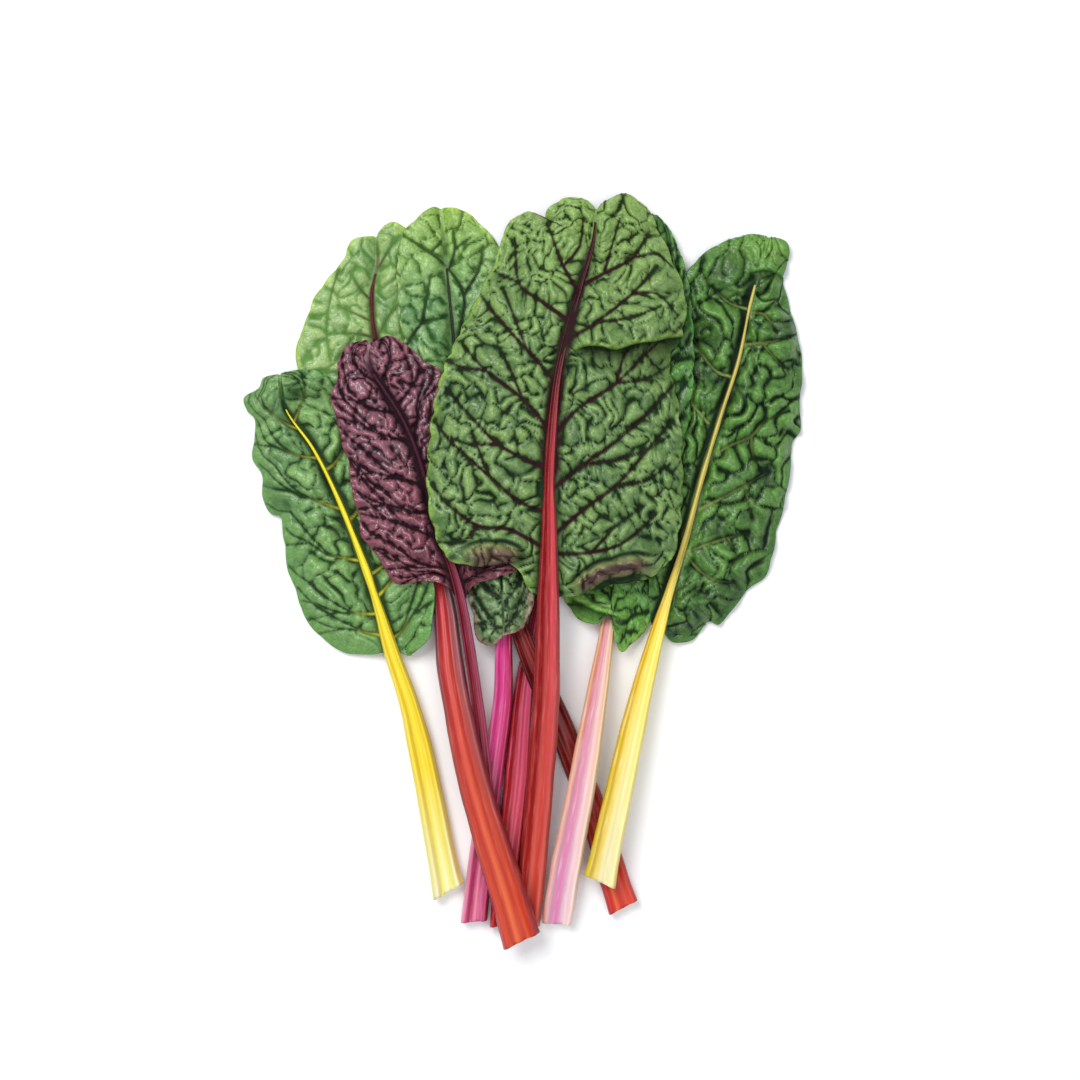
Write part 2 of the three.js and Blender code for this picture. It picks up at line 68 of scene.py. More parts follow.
# %% The spine and the margins of every leaf
LEAVES = [
    {
        "name": "front_red",
        "spine": [
            [-0.5, -183, 10, 18.5, 9.5], [-8, -157, 13, 18, 9.2], [-15.5, -133, 15, 17.5, 9],
            [-21.5, -113, 15, 16, 8.5], [-26.5, -94, 14.6, 15, 8], [-31.5, -71, 12.5, 14, 7.5],
            [-35.8, -48, 9, 13.5, 6.8], [-38.5, -22, 4.5, 11, 6], [-42, 0, 1.5, 7, 5],
            [-48, 28, 0, 4.6, 4.2], [-56, 60, 0, 3.8, 3.8], [-66, 92, 0, 3.2, 3.4], [-74, 118, 0, 2.8, 3],
            [-75.5, 138, 0, 2.2, 2.4], [-72.5, 154, 0, 1.6, 1.6], [-73.5, 167, 0, 1, 1],
        ],
        "neck": 8,
        "rib_end": 13,
        "arch": [1, 0.5],
        "left": [
            [-51, 3, 3], [-64, 20, 1], [-81, 40, 1], [-98, 65, 1], [-111, 90, 1], [-113, 111, 1],
            [-109, 122, 1], [-104, 136, 1], [-96, 147, 1], [-89.5, 155, 1], [-88, 160, 1], [-84.5, 165, 1],
            [-79, 166.5, 1],
        ],
        "right": [
            [-37.5, 3, 3], [-35, 24, 1], [-37, 50, 1], [-41, 76, 1], [-45.5, 102, 1], [-49.5, 130, 1],
            [-52, 150, 1], [-55, 165, 1], [-60, 172, 1], [-66, 173.5, 1], [-71, 170, 1],
        ],
    },
    {
        "name": "slanting_red",
        "spine": [
            [50, -168, 0, 15, 8], [43.5, -148, 0, 14.5, 8], [36, -123, 0, 13.5, 7.5], [27, -99, 0, 13, 7.2],
            [16.5, -72, 3.2, 12, 7], [6.5, -50, 7.4, 11, 6.5], [-3, -26, 5.5, 9, 6], [-10, -6, 2.5, 7, 5.5],
            [-18, 22, 0.5, 5, 4.6], [-26.5, 60, 0.5, 4, 4], [-33, 100, 0.5, 3, 3.2],
            [-36.5, 134, 0.5, 2.5, 2.5], [-39, 160, 0.5, 1.8, 1.8], [-41, 181, 0.5, 1, 1],
        ],
        "neck": 7,
        "rib_end": 11,
        "arch": [2, 2],
        "left": [
            [-19, -8, 6], [-29, 6, 5.5], [-38, 34, 6], [-48, 68, 6], [-56.5, 100, 6], [-61.5, 130, 6],
            [-62.5, 153, 6], [-60, 167, 5], [-52.5, 175.5, 3], [-46, 181, 1],
        ],
        "right": [
            [-1.5, -6, 5], [10, 15, 2], [16, 50, 1], [14.5, 90, 1], [8.5, 124, 1], [-1.5, 150, 1],
            [-11.5, 161, 1], [-16, 167, 1], [-22, 173.5, 1], [-31, 180, 1],
        ],
    },
    {
        "name": "white_pink",
        "spine": [
            [17, -176, 0, 15, 8.5], [21, -150, 4.4, 15, 8.2], [28.5, -110, 8.8, 14, 8],
            [34, -78, 8.2, 12, 7.4], [38.5, -51, 6, 9.5, 6.8], [42, -29, 3.5, 7, 6], [44, -10, 1.5, 5.4, 5],
            [46, 20, 0, 4.4, 4.4], [48.5, 52, 0, 3.6, 3.6], [51, 85, 0, 2.8, 2.8], [53.5, 112, 0, 1, 1],
        ],
        "neck": 5.4,
        "rib_end": 9,
        "arch": [0.5, 0],
        "left": [
            [34, -27, 6], [23, -19, 6], [20.5, -6, 5], [22, 16, 3], [24.5, 44, 1], [31, 75, 1], [41, 100, 1],
        ],
        "right": [
            [48.5, -40, 6], [56, -35, 4], [65, -24, 2], [72, -4, 1], [76, 26, 1], [75.5, 60, 1],
            [71, 88, 1], [63, 105, 1],
        ],
    },
    {
        "name": "left_yellow",
        "spine": [
            [-37, -160, 0, 15, 8.5], [-41.5, -137, 0, 14, 8.5], [-46.5, -111, 0, 13, 8],
            [-51.5, -87, 1, 12, 7.5], [-57, -65, 2.5, 9.5, 7], [-65.5, -40, 4, 7.5, 6],
            [-72, -18, 5, 5.2, 5], [-80, 6, 5.5, 4.2, 4.6], [-92, 36, 6, 2.8, 4], [-104, 60, 6, 1.9, 3],
            [-118, 80, 4, 1, 1.8], [-121.5, 98, 2, 1, 1],
        ],
        "neck": 5,
        "rib_end": 9.4,
        "arch": [5, 0],
        "left": [
            [-76, -42, 4], [-89, -41, 2], [-102.5, -32, 1], [-110.5, -20, 1], [-113, -10, 1], [-117, -2, 1],
            [-119, 14, 1], [-120.5, 26, 1], [-126, 28, 1], [-130, 37, 1], [-130.5, 48, 1], [-135, 57, 1],
            [-133.5, 74, 1], [-138, 79.5, 1], [-139, 86, 1], [-132.5, 90.5, 1], [-129.5, 96, 1],
        ],
        "right": [
            [-56, -42, 7], [-46.5, -33, 9], [-44, -15, 11], [-45, 6, 11], [-50, 27, 9], [-58, 50, 8],
            [-69, 70, 8.5], [-84, 88, 8], [-100, 98, 6.5], [-110, 100, 4],
        ],
    },
    {
        "name": "right_yellow",
        "spine": [
            [38, -154, 8.8, 15.5, 8.5], [42, -135, 8.8, 14.5, 8.5], [46.5, -115, 8.4, 14, 8],
            [51.5, -92, 7.5, 13, 8], [56.5, -70, 6.8, 11.5, 7.5], [61.5, -50, 6.2, 9.5, 7],
            [67, -30, 5.8, 7.2, 6], [73, -10, 5.6, 5.6, 5], [81, 16, 6, 4.6, 4.5], [89, 46, 7, 3.8, 4],
            [98, 76, 8, 3.2, 3.5], [107, 104, 8, 2.8, 3], [112.5, 130, 7, 2.2, 2.2],
            [117.5, 149, 5, 1.6, 1.6], [122.5, 166.5, 3, 1, 1],
        ],
        "neck": 6,
        "rib_end": 12,
        "arch": [0, 6],
        "left": [
            [63, -19, 8], [62.5, 6, 6], [65.5, 36, 5], [69, 66, 5], [71.5, 95, 5], [74.5, 125, 5],
            [81, 147, 4.5], [92, 159, 4], [104, 165, 3], [114, 167.5, 3],
        ],
        "right": [
            [75, -36, 4], [84.5, -35, 2], [92, -26, 1], [98, -27.5, 1], [104, -20, 1], [113.5, -9, 1],
            [122, -1, 1], [127, 20, 1], [131, 36, 1], [134, 56, 1], [134.5, 64, 1], [138.5, 71, 1],
            [138, 87, 1], [139.5, 98, 1], [138, 112, 1], [133, 132, 1], [129.5, 146, 1], [131.5, 152, 1.5],
            [132.8, 158, 2], [131, 164, 2],
        ],
    },
    {
        "name": "pink",
        "spine": [
            [-10.5, -177, 0, 12, 8], [-8.5, -152, 0, 12, 8], [-5.7, -127, 0, 12, 7.5],
            [-3, -103, 0, 12, 7.2], [-1.2, -80, 0, 11, 7], [1, -56, 0, 9.5, 6.5], [5, -34, 0, 7.5, 5.8],
            [9, -14, 3, 6.2, 5], [20, 10, 7, 5, 4.5], [33, 42, 8.5, 4.4, 4.2], [44, 75, 8.5, 3.6, 3.6],
            [53, 105, 8, 3, 3], [60.5, 135, 6, 2.4, 2.4], [65, 158, 4, 1.6, 1.6], [66, 178, 2, 1, 1],
        ],
        "neck": 7,
        "rib_end": 12,
        "arch": [0, 0],
        "left": [
            [2, -8, 8], [-1, 14, 9], [4, 50, 10.5], [13, 84, 12], [26, 119, 12], [40, 151, 9], [52, 171, 6],
        ],
        "right": [
            [19, -12, 8.5], [33, -4, 10], [56, 12, 10.5], [72.5, 40, 11.5], [82, 75, 11.8],
            [84.5, 110, 11.8], [82.5, 139, 10], [78, 158, 7], [72, 171, 4],
        ],
    },
    {
        "name": "magenta",
        "spine": [
            [-24.4, -175, 0, 13, 8], [-21.6, -150, 0, 12.4, 8], [-17.6, -120, 0, 11.6, 7.6],
            [-13.6, -92, 0, 10.4, 7.4], [-10, -65, 3, 9.6, 7], [-9.5, -42, 8.5, 8.6, 6.4],
            [-9.5, -22, 11.8, 7, 5.6], [-11, 0, 10.5, 5.6, 5], [-13.5, 24, 9, 4.8, 4.4],
            [-16.5, 52, 8.5, 3.8, 3.8], [-19.5, 82, 8.5, 2.8, 2.8], [-21.5, 110, 8, 1, 1],
        ],
        "neck": 5.5,
        "rib_end": 10,
        "arch": [0, 0],
        "left": [
            [-15.5, -37, 11], [-22, -35, 10], [-25, -22, 11], [-28, -5, 11], [-31, 16, 11],
            [-33.5, 42, 10.5], [-34, 68, 10], [-32, 90, 9.5], [-27, 104, 9],
        ],
        "right": [
            [-3, -30, 15.5], [1, -27, 15.5], [5, -16, 15], [5.5, 6, 14.5], [5, 30, 14], [3, 56, 13.5],
            [-3, 84, 12], [-11, 102, 10],
        ],
    },
    {
        "name": "purple",
        "spine": [
            [-16.5, -140, 8.6, 7, 5], [-17.5, -117, 8.8, 6.8, 5], [-19.5, -92, 9, 6.5, 5],
            [-22.5, -66, 9, 6, 4.8], [-26.5, -38, 11, 5.6, 4.6], [-30.5, -15, 14, 5, 4.4],
            [-35, 2, 15, 4.4, 4.2], [-41, 17, 14.5, 4, 4], [-46, 36, 13.5, 3.6, 3.6],
            [-51.5, 56, 13.5, 3.2, 3.4], [-59.5, 75, 12.5, 2.8, 3], [-69, 90, 11.5, 2.2, 2.4],
            [-77, 103, 9.5, 1.6, 1.6], [-76, 114, 9, 1, 1],
        ],
        "neck": 5,
        "rib_end": 11,
        "arch": [3.5, 0],
        "left": [
            [-37, -8, 18], [-48, -5, 17], [-60.5, -7, 15], [-67, -1.5, 14.5], [-72, 7.5, 14],
            [-79.5, 16, 14], [-81, 27, 13.5], [-84.5, 39, 13.5], [-86, 52, 13], [-90, 64, 12.5],
            [-92, 75, 12], [-95, 85, 11.5], [-92, 96, 11], [-91, 105, 11], [-86, 112, 10.5],
        ],
        "right": [
            [-24, -7, 19.5], [-12, -3, 20], [-2.5, 1.5, 19.5], [-12, 9, 18.5], [-28, 14, 16.5],
            [-36, 34, 14.5], [-40, 58, 13.5], [-42, 80, 13], [-39.5, 92, 13], [-41, 99, 13],
            [-48, 103, 12.5], [-57, 111, 12], [-66, 116, 11],
        ],
    },
    {
        "name": "central",
        "spine": [
            [2.2, -178, 0, 12.4, 8.8], [5.8, -138, 3, 13.4, 8.8], [9, -100, 9.5, 13.4, 8.6],
            [11.5, -65, 14.4, 13, 8], [12.2, -38, 15.6, 12, 7.6], [12.6, -13, 17.5, 10.4, 7],
            [13, 15, 21, 8.8, 6.2], [13.2, 50, 24, 6.8, 5.2], [16.5, 90, 25, 5, 4.6],
            [22, 117, 23.5, 4, 3.8], [28.5, 140, 20.5, 3, 3], [34.5, 161, 16, 2.2, 2.2],
            [36.5, 179.5, 11, 1, 1],
        ],
        "neck": 5,
        "rib_end": 11,
        "arch": [5, 5],
        "left": [
            [3, -9, 22], [-2, 0, 22], [-8, 4, 22.5], [-16, 2.5, 22.5], [-27, 2.5, 22.5], [-39, 8.5, 22.5],
            [-46.5, 34, 21], [-46, 66, 18], [-39.5, 98, 17.5], [-26.5, 127, 14], [-13, 155, 9],
            [-10, 167, 8.5], [-3, 176, 8], [4, 178, 8], [9.5, 174, 8.5], [12.5, 179, 9], [19, 184, 9],
            [27, 185, 9], [32.5, 183, 9.5],
        ],
        "right": [
            [27, -12, 22], [44, -7, 22], [61, -4, 20], [74, 7, 17], [78.5, 32, 16], [78.5, 62, 16],
            [76, 86, 16], [72.5, 103, 16], [77.5, 115, 16], [80.5, 134, 15], [74.5, 152, 13], [69, 165, 11],
            [64, 176, 9], [58, 183.5, 8], [50, 187, 8], [42, 184, 8.5],
        ],
    },
]
leaf_named = {leaf["name"]: leaf for leaf in LEAVES}
print("leaves:", ", ".join(leaf_named))

# %% [markdown]
# ## Habits of growth
#
# Each leaf grew in its own way: one is smooth, another deeply puckered, and some have a broad midrib.
# `HABIT` holds for every leaf that has no setting of its own in `GROWTH`. Lengths are in millimetres, and
# a pair is for the left and the right half of the blade, if its comment says nothing else.

# %% Settings of each leaf
HABIT = dict(
    ridges=2.6,  # ridges of the stalk from side to side
    ridge_phase=0.0,  # moves the ridges sideways, in radians
    cut_slant=-0.1,  # how far the cut's left corner is drawn in and its right one pushed out, in widths
    rib_width=0.75,  # width of the midrib within the blade, as a share of the spine's width
    knotty=0.06,  # how uneven that width is, as a share of it
    inset=0.36,  # where the blade leaves the midrib, in widths to the side of its middle
    level=0.45,  # and at what share of its depth
    lobe=13,  # length of a scallop of the margin
    scallop=1.6,  # depth of a scallop
    frill=1.6,  # how far the margin waves up and down
    blister=8.0,  # width of a blister
    pucker=1.0,  # strength of the whole relief
    roundness=0.4,  # share of a blister's width over which it rises from its edge
    drift=1.4,  # height of the slow ups and downs
    stretch=1.5,  # how many times longer a blister is along its lean
    lean=(0.69, 0.72),  # the direction of that: how far towards the tip, and how far outwards
    join=5,  # how far from the midrib the relief rises to its full strength, near the neck
    calm=(8, 8),  # how far from the margin it does
    dimples=[],  # hollows pressed in, with painted shade in them: x, y, reach and depth
    veins=[],  # veins laid out one by one: rows of x, y and half width
    vein_count=0,  # side veins that grow by rule on each half
    vein_width=0.9,  # half width of the thickest of these
    rib_stain=0.4,  # half width of the coloured line over the midrib, in widths of the spine
    rib_line=np.inf,  # the spine's row at which this line ends, if that is before the tip
    rib_shade=(0.6, 0.6),  # how dark the painted shade beside the midrib is
    pale_rim=(1, 1),  # how pale the margin is
    folds=[],  # settings of fold_over
    rolls=[],  # settings of roll_margin
    covers_rib=False,  # whether the blade lies on top of its own midrib
)
GROWTH = {
    "front_red": dict(
        blister=9.5, pucker=0.55, lobe=14, scallop=1.2, frill=0.6, rib_width=0.5, rib_shade=(0.1, 0.3),
        rib_stain=0.75, ridge_phase=0.6),
    "slanting_red": dict(
        pucker=0.75, lobe=16, scallop=1.2, frill=0.6, rib_width=0.5, rib_shade=(0.3, 0.3),
        pale_rim=(0.15, 1), ridges=2.0),
    "white_pink": dict(
        covers_rib=True, join=0, level=1.3, inset=0.04, blister=7.0, pucker=0.8, vein_count=6,
        vein_width=0.7, frill=1.0, rib_width=0.5, ridges=2.2, ridge_phase=0.7, cut_slant=-0.05,
        folds=[dict(line=[[20, -11.5], [30, -15], [42, -20.5]], rise=4, reach=8, overlap=1)]),
    "left_yellow": dict(
        blister=12.0, pucker=1.25, roundness=0.5, drift=2.0, stretch=1.05, calm=(22, 8), vein_count=6,
        vein_width=0.6, lobe=19, scallop=0.8, frill=1.4, rib_line=9.4, knotty=0.2, rib_width=0.85,
        rib_shade=(0.9, 1.3), ridges=3.2, cut_slant=-0.2,
        dimples=[(-113, 88, 5, 2.5), (-98, 88, 9, 1.4), (-71, 25, 6, 2), (-88, 20, 6, 2)]),
    "right_yellow": dict(
        blister=9.5, pucker=1.3, roundness=0.45, drift=2.4, stretch=1.8, lean=(0.92, 0.39), lobe=18,
        scallop=0.9, frill=1.2, rib_width=0.68, knotty=0.3, rib_line=12.2, rib_shade=(1.3, 0.1), ridges=2.2,
        ridge_phase=0.8, cut_slant=0.12,
        folds=[dict(line=[[110, 147], [117, 149.5], [124, 149.5], [132, 146]], rise=3.5, reach=9,
                    overlap=2.5, fold_shadow_reach=2.5)]),
    "pink": dict(pucker=0.9, vein_count=7, vein_width=0.8, frill=1.0),
    "magenta": dict(
        covers_rib=True, join=0, level=1.35, inset=0.04, rib_shade=(0.1, 0.1), blister=5.0, pucker=1.2,
        vein_count=6, vein_width=0.7, rib_width=0.5),
    "purple": dict(
        blister=5.6, pucker=1.1, rib_width=0.6, rib_shade=(0.9, 0.9), vein_count=8, vein_width=0.8, lobe=12,
        scallop=0.8, frill=1.0, dimples=[(-21, 2, 8, 2.4), (-8, 5, 7, 1.5)]),
    "central": dict(
        blister=9.0, pucker=1.1, roundness=0.5, drift=2.0, stretch=0.75, lobe=15, scallop=1.5, frill=1.0,
        ridges=1.7, ridge_phase=4.2, rib_shade=(0.9, 0.7), rib_width=0.78, rib_stain=0.75,
        pale_rim=(1, 0.35),
        dimples=[(52.5, 153.5, 2.6, 3.5), (-1, 7, 4, 3), (66, 101, 9, 1.6), (24, 101, 4, 1.2)],
        folds=[dict(line=[[17, 101], [24.5, 107.5], [32.5, 111.5], [46.5, 111], [60, 114], [75, 116],
                          [90, 117]], rise=8, reach=10, overlap=4, fold_shadow_reach=13)],
        rolls=[dict(line=[[4, 6], [-3, 11.5], [-12.5, 14], [-23, 12.5], [-35, 6]], width=12, rise=3),
               dict(line=[[72, 2], [59.5, 7], [47.5, 6], [37, 3.5], [27, -3], [20, -11]], width=8.5,
                    rise=3)]),
}
for leaf in LEAVES:
    leaf.update(HABIT, **GROWTH[leaf["name"]])
print("settings of a leaf:", len(HABIT))

# %% [markdown]
# ## Smooth curves
#
# A few points are joined by a Catmull-Rom curve, which passes through each of them. It could be a Bezier
# curve object, but a formula gives whole arrays of points at once. The other functions are the forms that
# soft things take again and again: steps, domes, bells and fading tails.

# %% Curves through points
def smooth_curve(rows, t):
    """A curve through the rows at parameter t, where whole numbers are the rows themselves.

    Between rows 1 and 2 of four neighbours it is the cubic that leaves row 1 in the direction from row 0
    to row 2 and reaches row 2 in the direction from row 1 to row 3. The end rows are mirrored outwards."""
    rows = np.asarray(rows, float)
    padded = np.vstack([2 * rows[0] - rows[1], rows, 2 * rows[-1] - rows[-2]])
    i = np.clip(np.floor(t).astype(int), 0, len(rows) - 2)
    f = (t - i)[..., None]
    a, b, c, d = (padded[i + k] for k in range(4))
    return 0.5 * (2 * b + (c - a) * f + (2 * a - 5 * b + 4 * c - d) * f**2 + (3 * b - a - 3 * c + d) * f**3)


def drawn(rows, count):
    """count points at even steps of the parameter, along the whole smooth curve through the rows."""
    return smooth_curve(rows, np.linspace(0, len(rows) - 1, count))


def travelled(points):
    """How far along a line of points each one is: the sum of the straight steps up to it."""
    steps = np.linalg.norm(np.diff(points, axis=0), axis=1)
    return np.concatenate([[0], np.cumsum(steps)])


def smoothstep(low, high, value):
    """0 below low, 1 above high, and the S-shaped rise 3 x^2 - 2 x^3 between them."""
    x = np.clip((value - low) / (high - low), 0, 1)
    return x * x * (3 - 2 * x)


def dome(x):
    """A quarter circle, the root of 1 - (1 - x)^2: 0 at x = 0, rising steeply, and level from x = 1 on."""
    return np.sqrt(np.clip(1 - (1 - np.clip(x, 0, 1))**2, 0, 1))


def bell(x):
    """exp(-x^2): 1 at x = 0, 0.37 at 1, and next to nothing from 2 on."""
    return np.exp(-x**2)


def fading(distance, reach):
    """1 up to distance 0, and exp(-distance / reach) beyond."""
    return np.exp(-np.maximum(distance, 0) / reach)


# %% [markdown]
# ## Unevenness
#
# Nothing that grows is even. Two kinds of unevenness are used: a soft one that drifts up and down, and
# cells, such as the blisters between the finest veins of a leaf. Both read tables of random numbers that
# start from a fixed seed, so they are the same each time.

# %% Soft noise and blister cells
TABLE_SIZE = 64  # squares along a side of the net, after which it repeats


def soft_noise(x, y, size, seed):
    """Noise from -1 to 1 that changes over about size millimetres.

    The corners of a square net have random heights, and an S-shaped blend joins them."""
    heights = np.random.default_rng(seed).uniform(-1, 1, (TABLE_SIZE, TABLE_SIZE))
    gx, gy = x / size, y / size
    ix, iy = np.floor(gx).astype(int), np.floor(gy).astype(int)
    fx, fy = smoothstep(0, 1, gx - ix), smoothstep(0, 1, gy - iy)

    def corner(dx, dy):
        return heights[(ix + dx) % TABLE_SIZE, (iy + dy) % TABLE_SIZE]

    near = corner(0, 0) * (1 - fx) + corner(1, 0) * fx
    far = corner(0, 1) * (1 - fx) + corner(1, 1) * fx
    return near * (1 - fy) + far * fy


def lumps(x, y, size, seed):
    """Rounded lumps from 0 to 1 with sharp valleys: the root of how far soft noise is from zero."""
    return np.sqrt(np.abs(soft_noise(x, y, size, seed) + 0.5 * soft_noise(x, y, size * 0.6, seed + 1)))


def blister_cells(x, y, size, seed):
    """(distance in millimetres to the edge of the cell that holds each point, a random number for the cell).

    One seed lies at a random place in each square of a net size millimetres wide, and a cell is what is
    nearest to its seed. The distance to its edge is half of how much further the second seed is."""
    rng = np.random.default_rng(seed)
    place = rng.uniform(0.1, 0.9, (TABLE_SIZE, TABLE_SIZE, 2))
    value = rng.uniform(-1, 1, (TABLE_SIZE, TABLE_SIZE))
    ix, iy = np.floor(x / size).astype(int), np.floor(y / size).astype(int)
    first = np.full(x.shape, np.inf)
    second = first.copy()
    own = np.zeros(x.shape)
    for dx in (-1, 0, 1):
        for dy in (-1, 0, 1):
            jx, jy = (ix + dx) % TABLE_SIZE, (iy + dy) % TABLE_SIZE
            seed_x = (ix + dx + place[jx, jy, 0]) * size
            seed_y = (iy + dy + place[jx, jy, 1]) * size
            distance = np.hypot(x - seed_x, y - seed_y)
            nearer = distance < first
            second = np.where(nearer, first, np.minimum(second, distance))
            own = np.where(nearer, value[jx, jy], own)
            first = np.where(nearer, distance, first)
    return (second - first) / 2, own


# %% [markdown]
# ## From arrays to a mesh
#
# A surface comes as a grid of points. The grid's rows and columns give its four-sided faces, and numbers
# that go with the points, such as how near a vein they are, become attributes that a material can read.

# %% Meshes from grids
def grid_faces(rows, columns, start=0):
    """Corner numbers of the faces of a grid whose points are stored row by row."""
    first = start + (np.arange(rows - 1)[:, None] * columns + np.arange(columns - 1)).ravel()
    return np.stack([first, first + 1, first + columns + 1, first + columns], axis=1)


def add_piece(name, points, faces, attributes, material, node, uv=None):
    """A mesh object from points in millimetres, which replaces its plain CAD node and rides on the root."""
    mesh = bpy.data.meshes.new(name)
    mesh.vertices.add(len(points))
    mesh.vertices.foreach_set("co", (points * MM).astype(np.float32).ravel())
    mesh.loops.add(faces.size)
    mesh.loops.foreach_set("vertex_index", faces.astype(np.int32).ravel())
    mesh.polygons.add(len(faces))
    mesh.polygons.foreach_set("loop_start", np.arange(0, faces.size, 4, dtype=np.int32))
    mesh.polygons.foreach_set("use_smooth", np.ones(len(faces), bool))
    mesh.update(calc_edges=True)
    for key, values in attributes.items():
        layer = mesh.attributes.new(key, "FLOAT", "POINT")
        layer.data.foreach_set("value", values.astype(np.float32).ravel())
    if uv is not None:
        layer = mesh.uv_layers.new(name="along")
        layer.data.foreach_set("uv", uv[faces.ravel()].astype(np.float32).ravel())
    mesh.materials.append(material)
    piece = bpy.data.objects.new(name, mesh)
    bpy.context.collection.objects.link(piece)
    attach(piece, "root")
    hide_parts(node)
    return piece


# %% [markdown]
# ## The spine
#
# The stalk and the blade both start from the spine. Its sections stand upright, square to the line that it
# makes on the table. The frame's box of one stalk says how far the CAD model was moved to centre it, and
# every leaf gets the same shift.

# %% Points and directions along a spine
STEP = 0.01  # rows of the spine between a point and the ones whose difference gives its direction
BOX_POINTS = 221  # points from which the plan of a stalk is measured


def spine_at(leaf, t):
    """Underside points, the direction to the left, the width and the depth at parameter t of the spine."""
    values = smooth_curve(leaf["spine"], t)
    ahead = smooth_curve(leaf["spine"], np.minimum(t + STEP, len(leaf["spine"]) - 1))
    behind = smooth_curve(leaf["spine"], np.maximum(t - STEP, 0))
    along = ahead[:, :2] - behind[:, :2]
    along /= np.linalg.norm(along, axis=1)[:, None]
    left = np.stack([-along[:, 1], along[:, 0], np.zeros(len(t))], axis=1)
    points = values[:, :3] + shift
    points[:, 2] = np.maximum(points[:, 2], 0)
    return points, left, values[:, 3], values[:, 4]


shift = np.zeros(3)
central = leaf_named["central"]
middle, sideways, widths, _ = spine_at(central, np.linspace(0, central["rib_end"], BOX_POINTS))
half_across = sideways * widths[:, None] / 2
edges = np.vstack([middle + half_across, middle - half_across])
node_box = np.array(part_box("central_stalk")) / MM
shift[:2] = (node_box.mean(axis=0) - (edges.min(axis=0) + edges.max(axis=0)) / 2)[:2]
print("the leaves are shifted by", shift.round(2), "mm")

# %% [markdown]
# ## The stalk
#
# A chard stalk is a broad, crisp rib: flat to round below, hollow like a gutter above, with fine ridges
# along it where the strings run. It could be a curve with a bevel profile, but a surface of two
# parameters, round the section and along the spine, also lets the width and the depth change freely.

# %% The surface of a stalk
# The right half of a section from its foot to the gutter: x in half widths, z in depths
HALF_SECTION = [[0.5, 0], [0.92, 0.3], [1, 0.62], [0.74, 1], [0.3, 0.8]]
AROUND = 40  # points round a section
PROBES = 400  # points from which the length of a spine is measured
RING_SPACING = 1.4  # millimetres from one section to the next
CUT_RINGS = np.linspace(0.02, 0.94, 5)  # sizes of the rings on the face of the cut
END_RINGS = [0.6, 0.05]  # and of those on the hidden end
HIDDEN_ROWS = 0.6  # rows of the spine that the midrib runs on inside the blade
RIDGE_HEIGHT, ON_TOP = 0.09, (0.55, 0.8)  # in depths, and how far up the section ridges start and are full
STRING_HEIGHT, ON_FLANKS = 0.02, (0.15, 0.5)
STRINGS = 9  # strings from side to side
NARROWS = (1.0, 1.35)  # where the stalk narrows to the midrib, in lengths of the stalk below the blade
UNEVEN = 0.03  # how much the width of a stalk drifts, as a share of it
UNEVEN_LENGTH = 11  # and over how many millimetres
SLANT_REACH = 6  # millimetres over which the slant of the cut dies away


def stalk_section(leaf, seed):
    """Where the points of a section are: across from -1 to 1, and the height from 0 to 1.

    They lie on the smooth closed curve through HALF_SECTION and its mirror image. The ridges and the
    strings are cosines across the width."""
    corners = HALF_SECTION + [[-x, z] for x, z in reversed(HALF_SECTION)]
    closed = corners[-1:] + corners + corners[:3]
    section = smooth_curve(closed, np.linspace(0, len(corners), AROUND, endpoint=False) + 1)
    across, up = section[:, 0], np.maximum(section[:, 1], 0)
    ridges = RIDGE_HEIGHT * np.cos(np.pi * leaf["ridges"] * across - leaf["ridge_phase"])
    strings = STRING_HEIGHT * np.cos(np.pi * STRINGS * across + seed)
    return across, up + (ridges * smoothstep(*ON_TOP, up) + strings * smoothstep(*ON_FLANKS, up))


def shrunk(ring, sizes):
    """Copies of a ring of points, drawn in towards its middle to each of the sizes."""
    middle = ring.mean(axis=0)
    return middle + (ring - middle) * np.asarray(sizes)[:, None, None]


def stalk_surface(leaf, seed):
    """(rings of points along the stalk and the midrib, attributes, uv).

    A ring is the section, scaled by the width and the depth, and the width drifts by a soft noise. At both
    ends smaller and smaller rings close the section up to a pinhole. The uv is the place across and the
    way along, in metres."""
    probe = np.linspace(0, leaf["rib_end"] + HIDDEN_ROWS, PROBES)
    length = travelled(spine_at(leaf, probe)[0])
    at = np.linspace(0, length[-1], int(length[-1] / RING_SPACING))
    centre, left, width, depth = spine_at(leaf, np.interp(at, length, probe))
    blade_from = np.interp(leaf["neck"], probe, length)
    in_blade = smoothstep(*NARROWS, at / blade_from)
    slim = 1 - (1 - leaf["rib_width"]) * in_blade
    uneven = UNEVEN + leaf["knotty"] * in_blade
    width = width * slim * (1 + uneven * soft_noise(at, seed, UNEVEN_LENGTH, seed))
    depth = depth * np.sqrt(slim)
    across, height = stalk_section(leaf, seed)
    points = centre[:, None] + left[:, None] * (across[None, :, None] * width[:, None, None] / 2)
    points[..., 2] += height * depth[:, None]
    slant = leaf["cut_slant"] * width[0] * across * np.exp(-at / SLANT_REACH)[:, None]
    points[..., 1] -= left[:, :1] * slant
    grid = np.concatenate([shrunk(points[0], CUT_RINGS), points, shrunk(points[-1], END_RINGS)])
    along = np.pad(at, (len(CUT_RINGS), len(END_RINGS)), mode="edge")[:, None]
    in_cut = np.arange(len(grid))[:, None] < len(CUT_RINGS)
    attributes = {"across": -across, "along": along / blade_from, "cut": in_cut * 1.0}
    attributes = {key: np.broadcast_to(values, grid.shape[:2]) for key, values in attributes.items()}
    uv = np.stack(np.broadcast_arrays(across * width.mean() / 2, along), axis=-1) * MM
    return grid, attributes, uv


def tube_faces(rings, around):
    """Faces of rings of points, each of which closes on itself."""
    faces = grid_faces(rings, around + 1)
    row, column = faces // (around + 1), faces % (around + 1) % around
    return row * around + column


